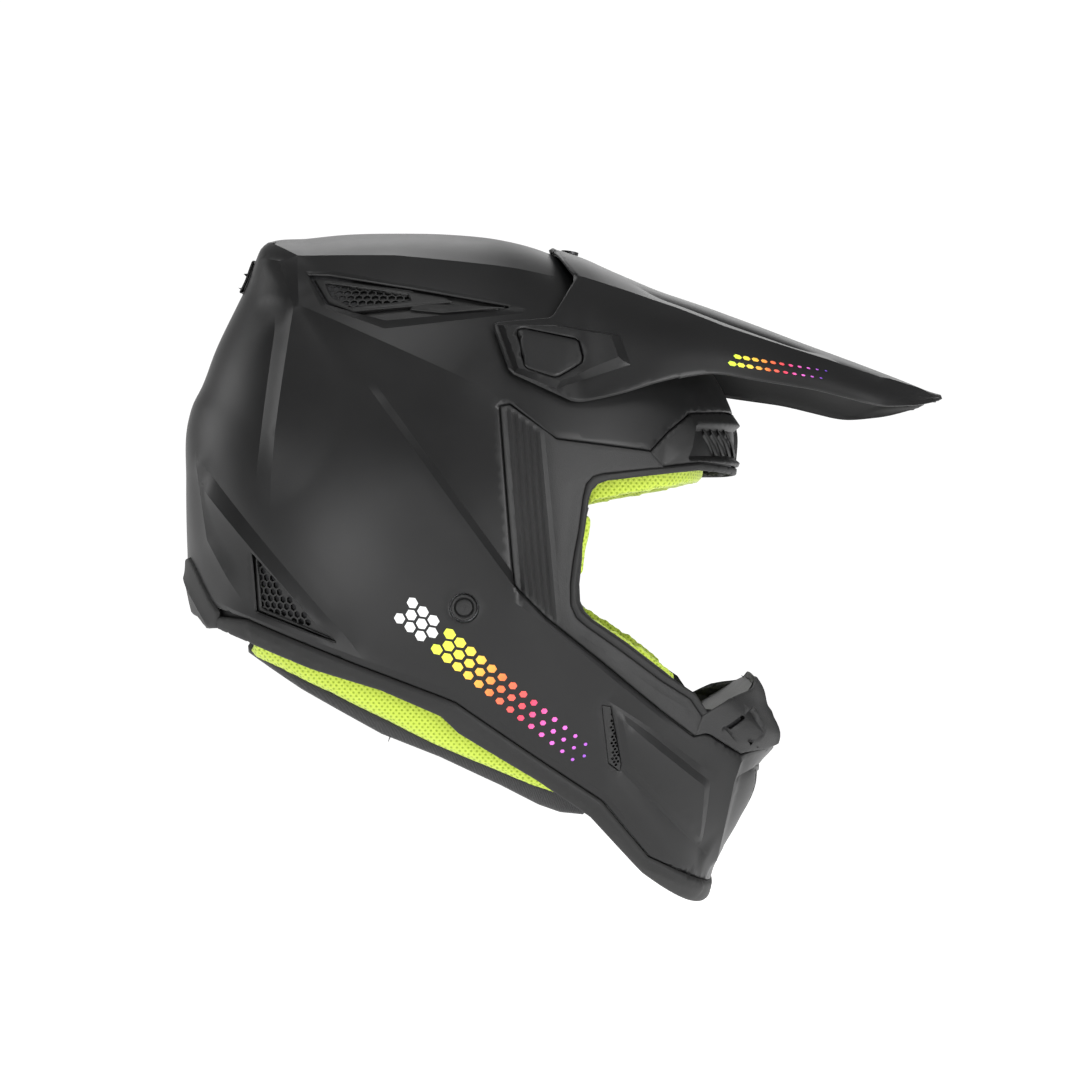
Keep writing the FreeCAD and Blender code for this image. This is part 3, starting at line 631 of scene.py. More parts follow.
def gradient(name, start, end):
    """A printed fade from yellow-green to violet, from one side-view point to another (mm)."""
    n = Nodes(name)
    along, _, up = n.split()
    dx, dz = (end[0] - start[0]) * MM, (end[1] - start[1]) * MM
    size = dx * dx + dz * dz
    x = n.math("MULTIPLY", n.math("SUBTRACT", along, start[0] * MM), dx / size)
    z = n.math("MULTIPLY", n.math("SUBTRACT", up, start[1] * MM), dz / size)
    fade = n.math("ADD", x, z)
    stops = [(0.0, (0.62, 0.90, 0.05)), (0.2, (0.95, 0.62, 0.06)), (0.4, (0.90, 0.17, 0.04)),
             (0.58, (0.85, 0.05, 0.10)), (0.78, (0.82, 0.14, 0.62)), (1.0, (0.16, 0.06, 0.55))]
    n.color(fade, stops)
    n.bump(n.noise(1500.0), 0.2, 0.00003)
    n.set(Roughness=0.45)
    return n.material


BLACK_LOW, BLACK_HIGH = (0.0062, 0.0062, 0.0064), (0.0088, 0.0088, 0.0090)
LACQUER = plastic("matte_lacquer", BLACK_LOW, BLACK_HIGH, 0.4, 0.06, 2400.0, 0.00002, 0.3)
GRAINED = plastic("grained_plastic", (0.009, 0.009, 0.0092), (0.014, 0.014, 0.0142), 0.56, 0.1,
                  1500.0, 0.00025, 0.42)
DARK_PLASTIC = plastic("vent_plastic", (0.005, 0.005, 0.005), (0.008, 0.008, 0.008), 0.48, 0.12,
                       1800.0, 0.0001, 0.4)
RUBBER = plastic("black_rubber", (0.006, 0.006, 0.006), (0.010, 0.010, 0.010), 0.6, 0.12,
                 2200.0, 0.00008, 0.38)
LIME = spacer_mesh("lime_spacer_mesh", (0.45, 0.57, 0.058), (0.23, 0.33, 0.009))
BLACK_CLOTH = woven("black_cloth", (0.006, 0.006, 0.006), (0.02, 0.02, 0.021))
WEBBING = woven("strap_webbing", (0.008, 0.008, 0.008), (0.03, 0.03, 0.031), 0.0018)
FOAM = foam("liner_foam")
STEEL = metal("plated_steel", (0.62, 0.63, 0.65), 0.3)
BLACK_NUT = metal("blackened_steel", (0.05, 0.05, 0.052), 0.42)


def dress(piece, material, body, slot, *nodes):
    """Give a new piece its material and its body, and hide the CAD nodes it stands for; the slot
    is not used.
    """
    piece.data.materials.append(material)
    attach(piece, body)
    if nodes:
        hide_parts(*nodes)
    return piece


def add(name, surface, outline, material, slot, *nodes, body="root", **shape):
    """Make a patch of a surface and dress it."""
    return dress(patch(name, surface, outline, **shape), material, body, slot, *nodes)


# ------------------------------------------------------------------ shared shapes

form = Form()

EYEPORT = [
    (137, 52.5), (111, 54), (90.8, 51.2), (83, 50.5), (57, 47.2), (51.5, 45.6), (48, 41.5),
    (46.4, 35), (44, 17), (41, 1), (39.4, -12), (39.6, -23), (42.5, -29.5), (48, -34.5),
    (66, -47.3), (88, -64), (105, -75), (111.5, -84.4),
]
EYEPORT_LIP = [
    (137, 48.5), (111, 49.8), (90, 47.4), (83, 46.6), (60, 43.6), (54.5, 41.6), (51, 38),
    (49.4, 33), (47.2, 17), (44.4, 1), (42.8, -12), (43, -21), (45.4, -26.5), (50.5, -31),
    (68, -43), (90, -60), (108, -72), (115, -82.5),
]
RIM = [
    (-158, -30), (-135, -31.5), (-83, -52), (-73, -55.7), (-30, -71.8), (-22, -75), (13, -99.7),
    (57, -130), (83, -163), (116, -180),
]
UPPER_VENT = [(-104, 157), (-92, 157), (-15, 143), (8, 138.6), (-60, 130.5), (-93, 139.5)]
LOWER_VENT = [(-131.7, 5), (-86, -43), (-130.4, -27)]
CHIN_VENT = [(56.5, -77), (61.5, -78), (67.4, -110), (66.7, -114), (60.2, -109)]
RIVET = (-17.0, -24.0)
RIVET_RADIUS = 7.6
MOUTH_SEAM = [(107.5, -95.6), (114, -94.7), (117, -95.6), (134.8, -107.9), (149.8, -100.6, 25),
              (155.3, -98.4, 14), (157, -98.4, 0)]


def circle(centre, radius, count=48):
    """Points of a circle in side view."""
    return [(centre[0] + radius * math.cos(2 * math.pi * i / count),
             centre[1] + radius * math.sin(2 * math.pi * i / count)) for i in range(count)]


def hexagons(surface, outline, pitch, size, margin):
    """Rings of hexagonal holes on the map, inside a side-view outline."""
    border = map_line(surface, outline, 1.0)
    low, high = np.min(border, 0), np.max(border, 0)
    cells = []
    row = pitch * HEXAGON_ROW
    for i in range(int((high[1] - low[1]) / row) + 2):
        for j in range(int((high[0] - low[0]) / pitch) + 2):
            centre = np.array((low[0] + (j + 0.5 * (i % 2)) * pitch,
                               low[1] + i * pitch * HEXAGON_ROW))
            if not inside(border, centre[None])[0]:
                continue
            if distance(border, centre[None], True)[0][0] < size + margin:
                continue
            corners = [math.radians(30 + 60 * k) for k in range(6)]
            cells.append([(centre[0] + size * math.cos(q), centre[1] + size * math.sin(q))
                          for q in corners])
    return cells


def plateau(surface, outline, height, bevel):
    """A raised (or sunken) flat-topped area with a straight bevel, as a height function."""
    border = map_line(surface, outline, 2.0)

    def lift(points):
        d, _ = distance(border, points, True)
        d = np.where(inside(border, points), d, 0.0)
        return height * np.clip(d / bevel, 0, 1)
    return lift


def wedge(surface, outline, edge, depth, run):
    """A pocket that is deepest along one edge and runs out away from it."""
    border = map_line(surface, outline, 2.0)
    line = map_line(surface, edge, 2.0, False)

    def lift(points):
        d, _ = distance(line, points)
        return np.where(inside(border, points), -depth * np.clip(1 - d / run, 0, 1), 0.0)
    return lift


def edges_of(*outlines, closed=True):
    """Sharp mesh lines along outlines."""
    return [Crease(list(line) + ([line[0]] if closed else []), 0.0, 1.0) for line in outlines]


def total(*functions):
    """The sum of height functions."""
    return lambda points: sum(f(points) for f in functions)


def backing(name, surface, outline, depth, pitch=3.0):
    """Dark cloth behind the holes of a grille."""
    add(name, surface, outline, BLACK_CLOTH, "trim_plastic", lift=-depth, pitch=pitch,
        thick=0.8, roll=0.0)


# ------------------------------------------------------------------ outer shell

SHELL_CREASES = [
    Crease([(-111, 167.4), (-57, 166.7), (-11.5, 162), (38.7, 157)], 2.4, 15, (0.0, 0.3)),
    Crease([(-136, 182), (-111, 167.4)], 2.6, 12, (0.6, 0.0)),
    Crease([(-111, 167.4), (-107, 138.6)], 2.6, 12, (0.0, 0.1)),
    Crease([(-139, 171), (-121, 165.2), (-111, 167.4)], 1.6, 9, (0.6, 0.0)),
    Crease([(-121, 165.2), (-110.8, 139.1)], 1.8, 8, (0.0, 0.0)),
    Crease([(-109, 139.0), (-67, 119.6), (-13, 94.9), (6, 86)], 3.0, (18, 12), (0.0, 0.25)),
    Crease([(-109, 138.4), (-122.6, 24)], 3.6, (17, 7), (0.0, 0.45)),
    Crease([(-121, 134), (-131, 34)], -1.0, 6, (0.1, 0.4)),
    Crease([(-75.1, 102.4), (10.5, -14.9)], 5.4, (5, 28), (0.5, 0.0)),
    Crease([(-66, 97), (12.5, -11)], -1.4, 3, (0.3, 0.0)),
    Crease([(8.9, -20.7), (30, -36), (77, -75.5), (106, -99)], 3.4, (5, 12), (0.0, 0.3)),
    Crease([(-165.6, 45.4), (-85.8, -43.4)], 2.8, 9, (0.15, 0.1)),
    Crease([(-166.8, 57.2), (-70.2, -52.4)], -2.0, 7, (0.2, 0.1)),
    Crease([(-168, 62), (-158.7, 11.6), (-137.4, -23.1)], 1.4, 8, (0.1, 0.2)),
    Crease([(56, -72), (84, -90.5), (121, -119)], -2.6, 6, (0.05, 0.2)),
    Crease([(60, -113), (67.5, -114), (117, -165)], -2.6, 6, (0.05, 0.1)),
    Crease([(133, -112), (129.5, -122), (121, -172)], 2.4, (4, 9), (0.0, 0.05)),
    Crease([(133, -112), (157, -106)], 0.0, 4, (0.0, 0.0)),
    Crease([(130, -121), (150, -116)], -1.0, 3, (0.2, 0.0)),
    Crease([(-155, -22), (-83, -47.5), (-30, -66), (-20, -69.5), (15, -95), (59, -126),
            (85, -159)], 1.0, 5, (0.1, 0.1)),
]
VENT_RECESS = [(-106, 158), (-90, 158.5), (-10, 143.5), (16, 137.2), (13, 134.6), (-60, 124.2),
               (-95, 137)]
REAR_WINDOW = [(-146, 156.5, 4), (-146, 156.5, 21), (-140, 167.5, 21), (-140, 168, 4)]
CHIN_PANEL = [(64, -79), (84, -94), (117, -121.5), (114, -160), (68.5, -112)]


def make_shell():
    outline = [(-176, 60, 0), (-110, 187, 0), (22, 179, 0), (110, 123, 0), (135, 83.5, 0)]
    outline += [(126, 83.5), (106, 81.6), (93, 70.6), (83.2, 59.9), (32, 65.7), (26, 70)]
    outline += [(7.5, 84.6), (1.6, 83.4), (9.2, -12.5), (26, -29.8), (55, -53), (88, -80.5)]
    outline += MOUTH_SEAM + [(148, -121, 0), (150, -119.5, 30), (127, -160, 21), (125, -167, 0)]
    outline += [(121, -181, 0)] + RIM[:0:-1] + [(-155, -26), (-176, -8, 0)]
    holes = [UPPER_VENT, LOWER_VENT, CHIN_VENT, circle(RIVET, RIVET_RADIUS), REAR_WINDOW]
    recess = total(plateau(form, VENT_RECESS, -2.0, 5.0), plateau(form, CHIN_PANEL, 1.6, 4.0))
    lines = SHELL_CREASES + edges_of(VENT_RECESS, CHIN_PANEL, inset_ring(CHIN_PANEL, 4.0))
    add("shell_skin", form, outline, LACQUER, "shell_paint", "outer_shell", holes=holes,
        creases=lines, pitch=3.2, thick=3.0, roll=1.1, hole_roll=0.8, extra=recess)


make_shell()


# ------------------------------------------------------------------ trims round the eyeport

def rib_lines():
    """The fanned ribs at the back of the side panel: each a groove between two lines."""
    lines = []
    for i in range(1, 11):
        f = i / 11
        top = (3.5 + 21.5 * f, 82.6 - 13.5 * max(f - 0.17, 0) / 0.83)
        foot = (11.5 + 23.0 * f, -14.5 - 21.0 * f)
        lines.append(Crease([top, foot], -1.3 if i % 2 else 0.5, 0.9, (0.02, 0.02)))
    return lines


def make_side_trim():
    outline = [(7.2, 83.6), (26.9, 69.3), (32, 65.2), (82.9, 59.4), (90.6, 50.9), (83, 50.3)]
    outline += EYEPORT[4:] + [(112.5, -94.5), (107.5, -94.6)]
    outline += [(88, -79.9), (55, -52.4), (26.2, -29.2), (9.7, -12.2), (2.2, 82.8)]
    step = Crease([(25.5, 70), (35.5, -37)], 0.0, 1.0)
    fold = Crease([(44, -38), (66, -55), (88, -71), (106, -82)], 1.2, 4.5, (0.1, 0.1))
    lift = plateau(form, [(26, 72), (90, 60), (92, 48), (40, 40), (34, -20), (60, -50),
                          (110, -85), (110, -97), (88, -82), (34, -37)], 0.5, 2.0)
    add("side_panel", form, outline, GRAINED, "trim_plastic", "side_trim_left",
        "side_trim_right", creases=rib_lines() + [step, fold], lift=0.1, pitch=2.0, thick=2.0,
        roll=0.7, extra=lift)


def make_brow():
    outline = [(83.4, 51.2), (83.4, 59.4), (93.2, 70.2), (106.2, 81.1), (126, 83), (135, 83),
               (136, 53.2), (111, 54.7), (91.4, 51.9)]
    window = [(102.5, 54.5), (108.0, 74.0), (109.4, 75.0), (137, 76.5), (137, 56)]
    bulge = plateau(form, [(90, 50), (92, 64), (105, 79.5), (126, 81.5), (136, 82), (140, 50)],
                    3.0, 12.0)
    floor = inset_ring(window, 4.5)
    creases = [Crease([(84, 59.4), (91.6, 52.2)], 0.0, 1.0)]
    creases += edges_of(window[:3], floor[:3], closed=False)
    pocket = plateau(form, window, -8.0, 5.0)
    add("brow_housing", form, outline, DARK_PLASTIC, "trim_plastic", "brow_vent_housing",
        creases=creases, lift=0.2, pitch=2.0, thick=2.0, roll=0.8, extra=total(bulge, pocket))
    for i in range(4):
        x = 114.0 + 4.6 * i
        fin = [(x, 73), (x + 1.3, 73), (x + 6, 66), (x + 9, 58.5), (x + 7.4, 58.5), (x + 4.4, 66)]
        blade = add(f"brow_fin_{i}", form, fin, DARK_PLASTIC, "trim_plastic", lift=-1.0,
                    pitch=1.5, thick=6.5, roll=0.3)
        if i == 0:
            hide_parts("brow_vent_louvres")


def make_gaskets():
    top_line = Crease([(x + 1, z - 1) for x, z in EYEPORT[1:5]], 0.0, 1.0)
    add("eyeport_seal", form, EYEPORT + EYEPORT_LIP[::-1], RUBBER, "rubber_trim",
        "eyeport_gasket", creases=(top_line,), lift=0.9, pitch=2.0, thick=4.5, roll=1.2)
    lower = [(118.5, -194, 0), (118, -193, 14), (79, -172), (50, -139), (21, -118), (-21, -92),
             (-30, -83), (-62, -69), (-100, -58), (-139, -43), (-156, -37)]
    upper = [(x, z - 0.3) for x, z in RIM]
    welt = Crease([(x - 1.5, z - 5.0) for x, z in RIM[1:]], 1.1, 3.0, (0.02, 0.02), False)
    add("base_seal", form, upper + [(121, -181, 0)] + lower, RUBBER, "rubber_trim",
        "base_gasket", creases=(welt,), lift=1.3, pitch=2.6, thick=4.5, roll=2.0)
    leg = [(x + 2, z + 5) for x, z in RIM] + [(122, -175, 0), (120, -186, 0)]
    leg += [(x - 1, z - 4) for x, z in RIM[::-1]]
    add("base_seal_inner_leg", form, leg, RUBBER, "rubber_trim", lift=-3.3, pitch=3.0,
        thick=1.6, roll=0.4)
    collar = [(-181, 0, 0), (-173, 2), (-168, -4), (-158, -21), (-153, -28), (-153.5, -37),
              (-161, -37.5), (-168, -31.5), (-174, -27, 0)]
    ridge = Crease([(-179, -8), (-168, -22), (-160, -34)], 1.6, 5, (0, 0))
    add("nape_guard", form, collar, RUBBER, "rubber_trim", "rear_collar", creases=(ridge,),
        lift=1.4, pitch=2.4, thick=3.0, roll=1.6)


make_side_trim()
make_brow()
make_gaskets()


# ------------------------------------------------------------------ vents

UPPER_MESH = [(-94.5, 153), (-48.5, 145.6), (-47, 141.8), (-80, 138.3), (-90.5, 145)]
LOWER_MESH = [(-130.2, 0), (-92, -39), (-128.8, -25.5)]


def make_vents():
    tray = [(-107, 159), (-92, 159), (-15, 145), (12, 138.6), (-60, 128.5), (-95, 137.5)]
    add("upper_vent_tray", form, tray, DARK_PLASTIC, "trim_plastic", lift=-3.4, pitch=3.0,
        thick=1.2, roll=0.5)
    frame_line = [(-101, 155.2), (-93, 155.2), (-48, 147.2), (-28, 143.6), (-24, 141.2),
                  (-46, 138.6), (-78, 135.6), (-92.5, 141.2)]
    add("upper_vent_frame", form, frame_line, DARK_PLASTIC, "trim_plastic",
        "upper_vent_frame_left", "upper_vent_frame_right", holes=[UPPER_MESH], lift=-0.4,
        pitch=1.8, thick=3.0, roll=0.8, hole_roll=0.8)
    spear = [(-45, 143.2), (-22, 139.6), (5, 138.4), (-30, 135.6), (-47, 137.2)]
    ridge = Crease([(-46, 139.8), (5, 138.4)], 1.6, 3, (0, 0))
    add("upper_vent_spear", form, spear, DARK_PLASTIC, "trim_plastic", creases=(ridge,),
        lift=-2.2, pitch=1.8, thick=1.5, roll=0.5)
    for name, line, pitch, size, lift in (("upper_vent_mesh", UPPER_MESH, 4.4, 2.05, -1.9),
                                          ("lower_vent_mesh", LOWER_MESH, 4.3, 1.95, -2.4)):
        grown = inset_ring(line, -3.2)
        add(name + "_plate", form, grown, DARK_PLASTIC, "vent_mesh", name + "_left",
            name + "_right", lift=lift, pitch=2.0, thick=1.3, roll=0.0,
            map_holes=hexagons(form, grown, pitch, size, 0.3))
    add("lower_vent_bezel", form, inset_ring(LOWER_VENT, 0.15), DARK_PLASTIC, "trim_plastic",
        holes=[inset_ring(LOWER_VENT, 2.2)], lift=-1.4, pitch=1.8, thick=2.2, roll=0.6,
        hole_roll=0.6)
    backing("lower_vent_backing", form, inset_ring(LOWER_VENT, -6.0), 5.2)
    middle = [(61.3, -80), (63.5, -80), (67, -109), (65.5, -112), (62, -108)]
    add("chin_side_mesh", form, inset_ring(CHIN_VENT, 0.3), DARK_PLASTIC, "vent_mesh",
        "chin_side_grille_left", "chin_side_grille_right", lift=-1.2, pitch=1.6, thick=1.2,
        roll=0.0, map_holes=hexagons(form, middle, 1.9, 0.75, -0.6))
    backing("chin_side_backing", form, inset_ring(CHIN_VENT, -2.0), 3.6)


def bridge(name, line, inset, thick, rows=24):
    """A plate that spans the inside of the form from one side to the other, under a line."""
    points = np.array(divide(line, 2.5, False))
    half = np.maximum(form.half_at(points[:, 0], points[:, 1]) - inset, 1.0)
    bm = bmesh.new()
    grid = []
    for (x, z), h in zip(points, half):
        grid.append([bm.verts.new(Vector((x, h * (2 * j / rows - 1), z)) * MM)
                     for j in range(rows + 1)])
    for i in range(len(grid) - 1):
        for j in range(rows):
            bm.faces.new((grid[i][j], grid[i][j + 1], grid[i + 1][j + 1], grid[i + 1][j]))
    bm.normal_update()
    if sum(f.normal.z for f in bm.faces) < 0:
        bmesh.ops.reverse_faces(bm, faces=bm.faces[:])
    thicken(bm, thick * MM)
    return finish_mesh(name, bm)


def make_mouthpiece():
    top = [(111.7, -84.2), (127.5, -75.6), (143, -67, 27), (146, -66, 12), (147, -66, 0)]
    low = [(x, z + 0.5) if len(p) == 2 else (x, z + 0.6, p[2])
           for p in MOUTH_SEAM for x, z in [p[:2]]]
    outline = top + low[::-1]
    slot = [(126.3, -91.6), (136.8, -84.9), (139, -85.4), (138.8, -87.6), (129.6, -93.6)]
    creases = [
        Crease([(138.3, -85.5), (142.6, -81.8), (148.9, -96.9)], 0.0, 1.0),
        Crease([(138.3, -85.5), (148.9, -96.9)], 0.0, 1.0),
        Crease([(143.6, -67.5, 25), (148, -84, 25), (151, -99.6, 25)], 2.2, 7, (0, 0)),
    ]
    scoop = [(124, -91.5), (138, -82.8), (142.6, -81.8), (148.9, -96.9), (135.5, -105)]
    pocket = wedge(form, scoop, scoop[:3], 3.4, 18.0)
    creases += edges_of(scoop)
    add("mouthpiece_skin", form, outline, GRAINED, "trim_plastic", "mouthpiece", holes=[slot],
        creases=creases, lift=0.6, pitch=1.8, thick=3.2, roll=0.8, hole_roll=0.5, extra=pocket)
    slot_floor = [(124, -92), (137, -83), (141, -85), (140, -89), (130, -96)]
    backing("mouthpiece_slot_floor", form, slot_floor, 6.0, pitch=2.0)
    floor = bridge("mouth_lining", [(108, -92), (118, -88), (130, -80.5), (141, -71.5),
                   (144.5, -68.5)], 3.4, 1.6)
    dress(floor, DARK_PLASTIC, "root", "trim_plastic")
    louvre = [(150, -80, 0), (150, -80, 20), (154, -98, 16), (156, -98, 0)]
    ridge = Crease([(153, -88, 18), (156, -88, 0)], 1.2, 3, (0, 0))
    add("mouth_vent_lip", form, louvre, GRAINED, "trim_plastic", "mouth_vent_insert",
        creases=(ridge,), lift=1.6, pitch=1.8, thick=2.2, roll=0.8)


def make_chin_grille():
    inner = Form(-1.4)
    outline = [(148, -119, 0), (150, -117.5, 32), (127, -162, 23), (125, -169, 0)]
    area = [(148, -121, 0), (150, -120.5, 29.5), (127, -158, 20.5), (125, -165, 0)]
    add("chin_grille_plate", inner, outline, DARK_PLASTIC, "vent_mesh", "chin_grille",
        pitch=2.0, thick=2.0, roll=0.0, map_holes=hexagons(inner, area, 5.2, 2.1, 0.3))
    backing("chin_grille_backing", inner, outline, 6.0)


def make_rear_vent():
    outline = [(-147, 152.5, 0), (-147, 152.5, 24), (-139, 170.5, 24), (-139, 171.5, 0)]
    add("rear_exhaust_cover", form, outline, DARK_PLASTIC, "trim_plastic", "rear_exhaust_vent",
        holes=[REAR_WINDOW], lift=2.6, pitch=2.0, thick=3.5, roll=0.9, hole_roll=0.5)
    for i, height in enumerate((158.6, 162.0, 165.4)):
        slat = [(-144, height, 3), (-144, height, 22), (-143, height + 1.6, 22),
                (-143, height + 1.6, 3)]
        add(f"rear_exhaust_slat_{i}", form, slat, DARK_PLASTIC, "trim_plastic", lift=1.2,
            pitch=2.0, thick=2.5, roll=0.4)


make_vents()
make_mouthpiece()
make_chin_grille()
make_rear_vent()


# ------------------------------------------------------------------ peak

class Peak:
    """The peak's upper surface. On the map u is x in mm and v runs from the edge to the crown."""

    SPAN = 110.0
    TOP = [(-30, 192), (10, 187), (24, 181.6), (47, 174.6), (61.5, 167.6), (89, 155.4),
           (117, 145.6), (145, 135.1), (173, 124.1), (201, 113.7), (228.5, 103.2), (250, 94.8)]
    EDGE = [(-30, 60), (40, 60), (62, 82), (84, 94), (96, 98.2), (108, 100.8), (119, 102),
            (142, 98.2), (173, 93.6), (207, 85), (214, 84.6), (236, 86.4), (247, 90), (256, 91)]
    HALF = [(-30, 118), (60, 112), (84, 102), (108, 93), (119, 90), (142, 86), (173, 83),
            (212, 80), (222, 77), (237, 56), (249, 38), (256, 32)]
    FLAT = [(-30, 2.2), (80, 2.2), (140, 2.6), (250, 2.8)]

    def __init__(self, gap):
        self.cover = Form(gap)
        xs = np.linspace(-30, 70, 101)
        tops = []
        for x in xs:
            zs = np.linspace(120, 200, 161)
            half = self.cover.half_at(np.full(161, x), zs)
            tops.append(zs[np.argmax(half <= 0.01)] if (half <= 0.01).any() else 200)
        self.cover_x, self.cover_top = xs, np.array(tops)

    @staticmethod
    def table(rows, x):
        """Rows of (x, value), read at x."""
        rows = np.array(rows, float)
        return np.interp(x, rows[:, 0], rows[:, 1])

    def smooth_table(self, rows, x):
        return sum(self.table(rows, x + d) for d in (-6, -3, 0, 3, 6)) / 5

    def rise(self, x, z):
        """Height between edge and crown, from 0 to 1, with the crown's height."""
        top, edge = self.smooth_table(self.TOP, x), self.smooth_table(self.EDGE, x)
        return np.clip((z - edge) / np.maximum(top - edge, 0.5), 0, 1), top

    def half(self, x, z):
        """Half width, evened out along x so that the saddle runs smoothly into the brim."""
        rise, _ = self.rise(x, z)
        width = np.zeros_like(x)
        for shift in (-18, -12, -6, 0, 6, 12, 18):
            xs = x + shift * smoothstep(30, 60, x) * smoothstep(252, 215, x)
            low, high = self.smooth_table(self.EDGE, xs), self.smooth_table(self.TOP, xs)
            width = width + self.raw_half(xs, low + (high - low) * rise) / 7
        return width

    def raw_half(self, x, z):
        """Half width: the form's own at the back, the brim's in front."""
        rise, top = self.rise(x, z)
        power = self.table(self.FLAT, x)
        brim = self.smooth_table(self.HALF, x) * np.maximum(1 - rise**1.6, 0) ** (1 / power)
        cover_top = np.interp(x, self.cover_x, self.cover_top)
        scaled = CENTRE[1] + (z - CENTRE[1]) * (cover_top - CENTRE[1]) / (top - CENTRE[1])
        wrap = self.cover.half_at(x, scaled)
        m = smoothstep(34, 84, x)
        return wrap * (1 - m) + brim * m

    def low(self, x):
        return self.smooth_table(self.EDGE, x)

    def uv(self, points):
        result = []
        for p in points:
            x, z = float(p[0]), float(p[1])
            low, top = float(self.low(x)), float(self.smooth_table(self.TOP, x))
            f = min(max((z - low) / (top - low), 0.0), 1.0)
            result.append((x, self.SPAN * 2 / math.pi * math.asin(f)))
        return result

    def on_seam(self, uv):
        return uv[1] > self.SPAN - 0.02

    def place(self, uv):
        x, v = uv[:, 0], np.clip(uv[:, 1], 0, 2 * self.SPAN)
        low, top = self.low(x), self.smooth_table(self.TOP, x)
        f = np.sin(0.5 * math.pi * v / self.SPAN)
        z = low + (top - low) * f
        side = np.sign(self.SPAN - v + 1e-9)
        return np.stack([x, -side * self.half(x, z), z], 1)

    def seam_line(self, a, b, pitch):
        n = max(int(abs(b[0] - a[0]) / pitch), 1)
        return [(a[0] + (b[0] - a[0]) * i / n, self.SPAN) for i in range(n)]

    @staticmethod
    def outward_test(bm):
        return sum(f.normal.z for f in list(bm.faces)[:600])


peak = Peak(4.6)
PEAK_BODY = "peak"
BOSS_HEIGHT = 4.6
CAP = [(10.5, 121.8), (12, 122.8), (14, 123), (41, 117.8), (43, 116.4), (45.3, 108),
       (44.6, 105.2), (33, 98), (30.5, 97.3), (28, 97.8), (15.6, 101.8), (14.2, 103.4)]
BOSS = [(0.5, 127), (31, 128), (66.5, 122.6), (72, 106), (32, 92.5), (9.5, 101)]
PEAK_CREASES = [
    Crease([(40.8, 156.2), (47.7, 154.7), (66.6, 148.6), (97.8, 138), (123.4, 127.5),
            (184, 108), (226, 96), (246, 92)], 2.8, 13, (0.0, 0.1)),
    Crease([(72, 156), (90, 148.5), (124, 134.5), (184, 112.5)], -2.6, 7, (0.2, 0.2)),
    Crease([(183.7, 111), (217.6, 99.2)], -1.6, 7, (0.2, 0.2)),
]
WING = [(98, 99.3), (84, 95.6), (70, 91), (58, 88), (48, 86), (44, 85.6), (40, 86.2),
        (9.5, 100.2), (6.5, 103),
        (-1.5, 125), (-1.8, 128), (0, 129.4), (28, 132.4), (30.5, 134), (41.2, 153), (41, 156)]


def make_peak():
    outline = [(24, 190), (251, 190), (251, 92.4), (246, 89), (243, 40), (112, 40)] + WING
    creases = PEAK_CREASES + edges_of(BOSS)
    inner = [(3.4, 124.4), (32, 124.2), (61, 119.4), (65, 107.8), (33, 94.8), (11, 101.4)]
    creases += edges_of(inner)
    creases += [Crease([a, b], 0.0, 1.0) for a, b in zip(BOSS, inner)]
    border = map_line(peak, BOSS, 2.0)
    core = map_line(peak, inner, 2.0)

    def boss(points):
        outer, _ = distance(border, points, True)
        within, _ = distance(core, points, True)
        ramp = outer / np.maximum(outer + within, 1e-6)
        ramp = np.where(inside(core, points), 1.0, np.where(inside(border, points), ramp, 0.0))
        return BOSS_HEIGHT * ramp

    add("peak_skin", peak, outline, LACQUER, "peak_plastic", "peak_shell", body=PEAK_BODY,
        holes=[inset_ring(CAP, -0.5)], creases=creases, pitch=2.6, thick=2.2, roll=1.0,
        hole_roll=0.7, extra=boss)
    add("peak_cap_cover", peak, CAP, LACQUER, "peak_plastic", "peak_cap_left", "peak_cap_right",
        body=PEAK_BODY, lift=4.7, pitch=2.0, thick=2.6, roll=0.9)


make_peak()


# ------------------------------------------------------------------ ledge, rivets and foam

def make_ledge():
    """The shell's own edge under the side panels and the brow."""
    outline = [(-3, 88), (8, 90), (34, 71), (82, 65), (91, 76), (104, 86), (136, 88), (136, 51)]
    outline += EYEPORT_LIP[1:-1] + [(113, -100), (104, -101), (86, -86), (52, -58)]
    outline += [(22, -34), (4, -14)]
    add("shell_ledge", form, outline, LACQUER, "shell_paint", lift=-2.6, pitch=4.0, thick=1.4,
        roll=0.4)


def lathe(name, centre, profile, side, segments=64):
    """A turned piece about an axis along Y; heights in the profile point outwards."""
    bm = bmesh.new()
    x, y, z = centre
    rings = []
    for radius, height in profile:
        if radius < 1e-6:
            rings.append([bm.verts.new(Vector((x, side * (y + height), z)) * MM)])
            continue
        rings.append([bm.verts.new(Vector((
            x + radius * math.cos(2 * math.pi * k / segments), side * (y + height),
            z + radius * math.sin(2 * math.pi * k / segments))) * MM) for k in range(segments)])
    for a, b in zip(rings, rings[1:]):
        for k in range(segments):
            m = (k + 1) % segments
            corners = [a[k % len(a)], a[m % len(a)], b[m % len(b)], b[k % len(b)]]
            unique = list(dict.fromkeys(corners))
            if len(unique) > 2:
                bm.faces.new(unique)
    bmesh.ops.recalc_face_normals(bm, faces=bm.faces[:])
    return finish_mesh(name, bm)


def make_rivets():
    half = float(form.half_at([RIVET[0]], [RIVET[1]])[0])
    ring = [(0, -2.2), (7.1, -2.2), (7.1, 0.2), (6.9, 0.55), (6.5, 0.7), (5.7, 0.7), (5.4, 0.5),
            (5.3, 0.1), (5.3, -1.1), (4.6, -1.1), (4.55, -0.3), (4.3, 0.0), (3.8, 0.15),
            (2.2, 0.25), (0, 0.3)]
    for side, word in ((-1, "right"), (1, "left")):
        cap = lathe("rivet_cap_cover_" + word, (RIVET[0], half, RIVET[1]), ring, side)
        dress(cap, GRAINED, "root", "dark_screw", "rivet_cap_" + word)


